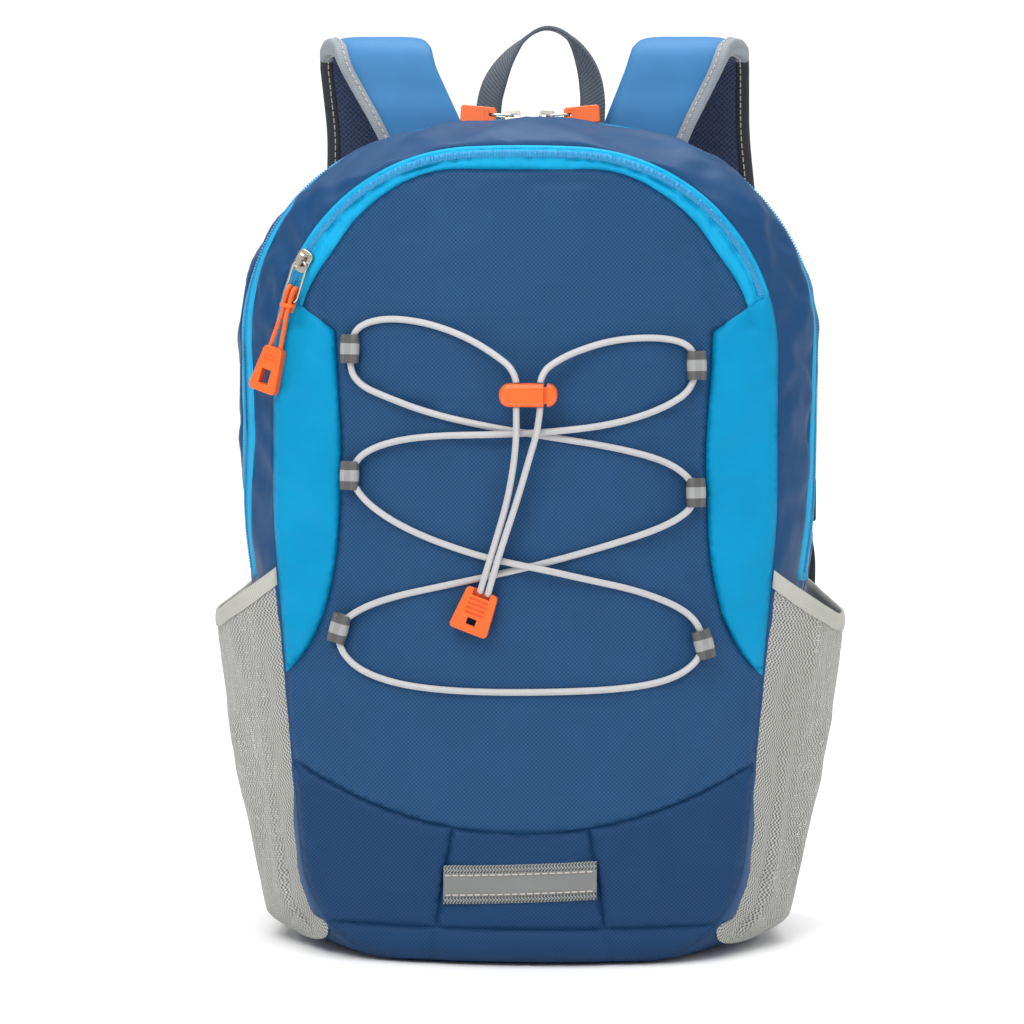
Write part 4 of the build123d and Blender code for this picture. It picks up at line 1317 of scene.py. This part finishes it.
class Strap:
    """Stations along the right strap, from the yoke over the apex down to the ladder lock."""

    def __init__(self, spread):
        path = resample(rounded(STRAP_PATH, STRAP_PATH_RADII, 12), STRAP_STATIONS)
        self.path = path
        step = unit(np.gradient(path, axis=0))
        self.out = np.stack([np.zeros(len(path)), -step[:, 1], step[:, 0]], axis=1)
        apex = int(np.argmax(path[:, 0] > STRAP_APEX_Y))
        self.inner = self.edge(path, apex, STRAP_UP_INNER, STRAP_DOWN_INNER)
        self.outer = self.edge(path, apex, STRAP_UP_OUTER, STRAP_DOWN_OUTER)
        spread = spread * np.clip((path[:, 1] - 400) / 70, 0, 1)
        self.inner, self.outer = self.inner + spread, self.outer + spread
        path[:, 1] -= STRAP_SINK * np.clip((path[:, 1] - 430) / 50, 0, 1)
        self.lengths = lengths_along(path)

    def edge(self, path, apex, rising, falling):
        """Place of one edge at each station, from its places by height before and after the apex."""
        up, down = np.array(rising, float), np.array(falling[::-1], float)
        x = np.r_[np.interp(path[:apex, 1], up[:, 1], up[:, 0]),
                  np.interp(path[apex:, 1], down[:, 1], down[:, 0])]
        padded = np.r_[[x[0]] * 3, x, [x[-1]] * 3]
        return np.convolve(padded, np.ones(7) / 7, mode="valid")

    def section(self, i, low, high, thick, power=0.34, crown=0.6):
        """Ring of points across the strap at station i, between two x places."""
        centre, half = (low + high) / 2, (high - low) / 2
        ring, cloth = [], []
        for k in range(32):
            turn = 2 * math.pi * (k + 0.5) / 32
            c, s = math.cos(turn), math.sin(turn)
            u = math.copysign(abs(c) ** power, c)
            h = math.copysign(abs(s) ** 0.55, s) * thick / 2 * (1 + crown * 0.12 * (1 - u * u))
            x = centre + u * half
            ring.append((x, self.path[i, 0] + self.out[i, 1] * h, self.path[i, 1] + self.out[i, 2] * h))
            cloth.append((self.lengths[i], x + (0 if s > 0 else 200), 0))
        return ring, cloth


def make_straps():
    """Both shoulder straps with their binding, ladder lock tabs and lower webbings."""
    last = STRAP_STATIONS
    taper = np.clip((last - np.arange(last + 1)) / 6, 0.45, 1) ** 0.6
    wrinkle_at = np.array([(length * 5, u) for length in range(last + 1) for u in np.linspace(0, 60, 32)])
    wrinkle = ripple(wrinkle_at, (16, 30), 6.1).reshape(last + 1, 32)
    for side, sign in (("right", 1), ("left", -1)):
        strap = Strap(STRAP_SPREAD[side])
        flip = np.array([sign, 1, 1])
        pads, pad_cloth, binds, bind_cloth = [], [], [], []
        for i in range(last + 1):
            outer = strap.outer[i] - BINDING_W * 0.7
            ring, cloth = strap.section(i, strap.inner[i], outer, STRAP_T * taper[i])
            ring = np.array(ring)
            ring += strap.out[i] * (wrinkle[i] * 0.55)[:, None]
            pads.append(ring * flip)
            pad_cloth.append(cloth)
            ring, cloth = strap.section(i, strap.outer[i] - BINDING_W, strap.outer[i],
                                        (STRAP_T * 0.8 + 2 * BINDING_EXTRA) * taper[i], power=0.5, crown=-0.2)
            binds.append(np.array(ring) * flip)
            bind_cloth.append(cloth)
        pad = build_strap(side, "shoulder_strap", pads, pad_cloth, [STRAP_NYLON, LINING])
        build_strap(side, "strap_binding", binds, bind_cloth, [TWILL, TWILL_SHADED])
        sew_binding(strap, side, flip, taper)
        make_tab(side, flip)
        make_lower_web(side, sign)


def build_strap(side, name, points, cloth, materials):
    """Closed tube; a pad takes its lining towards the wearer, a binding takes a painted-shade copy of its
    twill past the apex.
    """
    points = np.array(points)
    mesh = Mesh()
    mesh.grid(points, np.array(cloth), closed=True, capped=True)
    count = points.shape[1]
    for n, face in enumerate(mesh.faces[:-2]):
        station, column = divmod(face[0], count)
        # Pad faces towards the wearer take the real lining; binding faces past the apex take the
        # painted-shade twill.
        lined_or_shaded = column >= count // 2 if name == "shoulder_strap" else station > STRAP_SHADE_FROM
        mesh.slots[n] = int(lined_or_shaded)
    made = mesh.build(f"{name}_{side}_cloth", materials)
    recalculate(made)
    return finish_piece(made, f"strap_{side}", [f"{name}_{side}"])


def recalculate(made):
    """Closed mesh whose normals all point outwards."""
    work = bmesh.new()
    work.from_mesh(made.data)
    bmesh.ops.recalc_face_normals(work, faces=work.faces)
    work.to_mesh(made.data)
    work.free()


def sew_binding(strap, side, flip, taper):
    """Pale topstitch along both faces of the strap's binding."""
    mesh = Mesh()
    for face in (1, -1):
        line, outward = [], []
        for i in range(len(strap.path)):
            lift = face * (STRAP_T * 0.8 / 2 + BINDING_EXTRA) * taper[i]
            x = strap.outer[i] - BINDING_W * 0.62
            line.append(np.array((x, strap.path[i, 0] + strap.out[i, 1] * lift,
                                  strap.path[i, 1] + strap.out[i, 2] * lift)) * flip)
            outward.append(strap.out[i] * face * flip)
        stitches(mesh, line, outward, 2.6, 1.3, radius=0.34)
    finish_piece(mesh.build(f"strap_stitches_{side}", [THREAD]), f"strap_{side}")


def make_tab(side, flip):
    """Webbing tab that holds the ladder lock at the strap's end."""
    fold = [(142, 250), (141.6, 232), (138.6, 226), (135.4, 232), (135.6, 250)]
    path = resample(rounded(fold, [2, 2.4, 2], 6), 40)
    step = unit(np.gradient(path, axis=0))
    centres = np.array([(LADDER_X - 0.5, y, z) for y, z in path]) * flip
    normals = np.array([(0, -s[1], s[0]) for s in step])
    across = np.array([(1, 0, 0)] * len(path))
    made = build_ribbon(f"ladder_tab_{side}", DARK_WEB, centres, across, normals, WEB_W - 1, WEB_T - 0.1)
    finish_piece(made, f"strap_{side}")


def make_lower_web(side, sign):
    """Lower webbing, bowed out between the ladder lock and its anchor."""
    profile = resample(rounded(WEB_SIDE, [80, 80], 10), 70)
    outline = rounded(WEB_OUTLINE, [60, 60], 10)
    order = np.argsort(outline[:, 1])
    x = np.interp(profile[:, 1], outline[order, 1], outline[order, 0])
    centres = np.stack([x * sign, profile[:, 0], profile[:, 1]], axis=1)
    step = unit(np.gradient(centres, axis=0))
    level = unit(np.cross(step, np.array([0, 1.0, 0.25])))
    name = f"strap_webbing_{side}_cloth"
    made = build_ribbon(name, DARK_WEB, centres, level, np.cross(step, level), WEB_W, WEB_T)
    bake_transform(made)
    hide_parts(f"strap_webbing_{side}")
    make_anchor(side, sign)


def make_anchor(side, sign):
    """Folded triangular tab that sews the lower webbing into the base corner."""
    loop = resample(rounded(ANCHOR + [ANCHOR[0], ANCHOR[1]], [2.5, 2.0, 2.5], 5)[1:-6], 60)[:-1]
    middle = loop.mean(axis=0)
    rows, cloth = [], []
    for inset, height in ((0.0, 0.0), (0.0, 1.4), (0.8, 3.0), (3.0, 4.0), (8.0, 4.4)):
        ring = middle + (loop - middle) * (1 - inset / 16)
        rows.append([(p[0] * sign, BACK_Y + BACK_THICK + height, p[1]) for p in ring])
        cloth.append([(p[0], p[1], 0) for p in ring])
    mesh = Mesh()
    mesh.grid(np.array(rows), np.array(cloth), closed=True, capped=True)
    made = mesh.build(f"webbing_anchor_{side}_cloth", [NYLON])
    recalculate(made)
    finish_piece(made, "bag", [f"webbing_anchor_{side}"])


make_straps()


# ---- haul loop ----
def make_haul_loop():
    """Webbing loop that faces forward at its feet and twists edge-on over its top."""
    route = [(-25, 428, 0), (-26, 440, 5), (-24, 455, 20), (-16, 472, 55), (-3, 486, 85), (8, 490, 92),
             (20, 484, 98), (29, 468, 130), (32, 452, 158), (31.5, 439, 174), (31, 428, 180)]
    line = cord_points("haul", [(x, HAUL_Y, z) for x, z, _ in route])
    places = np.array([tuple(p) for p in line])
    travelled = lengths_along(places)
    marks = np.linspace(0, travelled[-1], len(route))
    twist = np.radians(np.interp(travelled, marks, [turn for _, _, turn in route]))
    step = unit(np.gradient(places, axis=0))
    depth = np.array([0, 1.0, 0])
    level = unit(np.cross(step, depth))
    across = level * np.cos(twist)[:, None] + depth * np.sin(twist)[:, None]
    made = build_ribbon("haul_loop_webbing", WEBBING, places, across, np.cross(step, across), HAUL_W, HAUL_T)
    finish_piece(made, "haul_loop", ["haul_loop"])


make_haul_loop()


# ---- back panel ----
def make_back():
    """Padded back: two ventilated pads beside a hollow channel, bound round its edge."""
    loop = full_outline(BACK_OUTLINE)
    closed = np.concatenate([loop, loop[:1]])
    flat, triangles = fill_outline(loop, [closed], 4.2, 2.0)
    edge = distance_to(flat, [closed])
    x, z = np.abs(flat[:, 0]), flat[:, 1]
    pad = np.clip((x - 12) / 8, 0, 1) * np.clip((edge - 14) / 8, 0, 1) * np.clip((372 - z) / 10, 0, 1)
    pad = pad * pad * (3 - 2 * pad)
    grooves = sum(np.exp(-((z - level) / 3.5) ** 2) for level in (110, 200, 290))
    thick = BACK_THICK - 4.5 + 8.5 * pad * (1 - 0.75 * grooves * (x > 12))
    thick += 3.5 * np.clip(edge / 10, 0, 1) * (1 - pad) + 0.6 * ripple(flat, (30, 40), 1.7)
    outer = np.stack([flat[:, 0], BACK_Y + thick, flat[:, 1]], axis=1)
    cloth = np.stack([flat[:, 0], flat[:, 1], np.zeros(len(flat))], axis=1)
    mesh = Mesh()
    turned = orient(outer, triangles, (0, 1, 0))
    mesh.add(outer, [tuple(t) for t in turned], cloth)
    made = mesh.build("back_panel_cloth", [AIR_MESH])
    finish_piece(made, "bag", ["back_panel"], thick=2.5)
    rim = Mesh()
    inset = full_outline(BACK_OUTLINE, 1.0)
    line = [(p[0], BACK_Y + 2.6, p[1] + 0.4) for p in np.concatenate([inset, inset[:1]])]
    tube(rim, line, 2.4, sides=10)
    finish_piece(rim.build("back_edge_binding", [NYLON]), "bag")


make_back()


# ---- CAD pieces that keep their shape ----
def finish_cad():
    """Materials, smooth shading and small rounded edges for the nodes that stay."""
    finishes = {
        "front_zip_slider": NICKEL, "front_pull_ring": NICKEL, "front_pull_grip": ORANGE,
        "main_slider_left": NICKEL, "main_slider_right": NICKEL,
        "main_pull_ring_left": NICKEL, "main_pull_ring_right": NICKEL,
        "main_pull_grip_left": ORANGE, "main_pull_grip_right": ORANGE,
        "cord_lock_body": ORANGE, "cord_lock_button": ORANGE, "cord_lock_spring": STEEL,
        "cord_end_clip": ORANGE,
        "ladder_lock_left": BLACK, "ladder_lock_right": BLACK, "front_pocket_divider": NYLON,
    }
    for name, material in finishes.items():
        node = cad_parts[name]
        node.data.materials.clear()
        node.data.materials.append(material)
        bevel = node.modifiers.new("edge", "BEVEL")
        bevel.width = 0.25 * MM
        bevel.segments = 2
        bevel.limit_method = "ANGLE"
        bevel.angle_limit = math.radians(35)
        bevel.harden_normals = True
        for polygon in node.data.polygons:
            polygon.use_smooth = True


finish_cad()


# ---- studio ----
def area_light(name, at, size, power):
    """Round soft light aimed at the bag's middle."""
    data = bpy.data.lights.new(name, "AREA")
    data.shape = "DISK"
    data.size = size
    data.energy = power
    lamp = bpy.data.objects.new(name, data)
    lamp.location = at
    lamp.rotation_mode = "QUATERNION"
    lamp.rotation_quaternion = (Vector((0, 0, 0.2)) - Vector(at)).to_track_quat("-Z", "Y")
    bpy.context.scene.collection.objects.link(lamp)


def make_studio():
    """White surround that is brightest overhead, three soft lights and a white floor."""
    world = bpy.data.worlds.new("studio")
    world.use_nodes = True
    tree = world.node_tree
    height = tree.nodes.new("ShaderNodeSeparateXYZ")
    tree.links.new(tree.nodes.new("ShaderNodeTexCoord").outputs["Generated"], height.inputs[0])
    sky = tree.nodes.new("ShaderNodeValToRGB")
    tree.links.new(height.outputs["Z"], sky.inputs[0])
    stops = sky.color_ramp.elements
    stops[0].position, stops[1].position = 0.06, 0.95
    stops[0].color, stops[1].color = (0.66, 0.66, 0.66, 1), (1, 1, 1, 1)
    for place, level in ((0.22, 0.16), (0.55, 0.26), (0.75, 1.0)):
        stops.new(place).color = (level, level, level, 1)
    tree.links.new(sky.outputs["Color"], tree.nodes["Background"].inputs["Color"])
    tree.nodes["Background"].inputs["Strength"].default_value = 1.65
    bpy.context.scene.world = world
    area_light("key", (-0.35, -0.85, 1.05), 0.7, 6.5)
    area_light("fill", (1.6, -1.6, 1.2), 1.6, 6)
    area_light("top", (0.1, 0.4, 2.2), 1.6, 26)
    s = Shader("floor", 0.7)
    s.colour(s.mix(s.object_noise(3), (0.93, 0.93, 0.93, 1), (0.95, 0.95, 0.95, 1)))
    data = bpy.data.meshes.new("floor")
    data.from_pydata([(-12, -12, 0), (12, -12, 0), (12, 12, 0), (-12, 12, 0)], [], [(0, 1, 2, 3)])
    data.materials.append(s.material)
    floor = bpy.data.objects.new("floor", data)
    bpy.context.scene.collection.objects.link(floor)
    bpy.context.scene.view_settings.view_transform = "Standard"


make_studio()
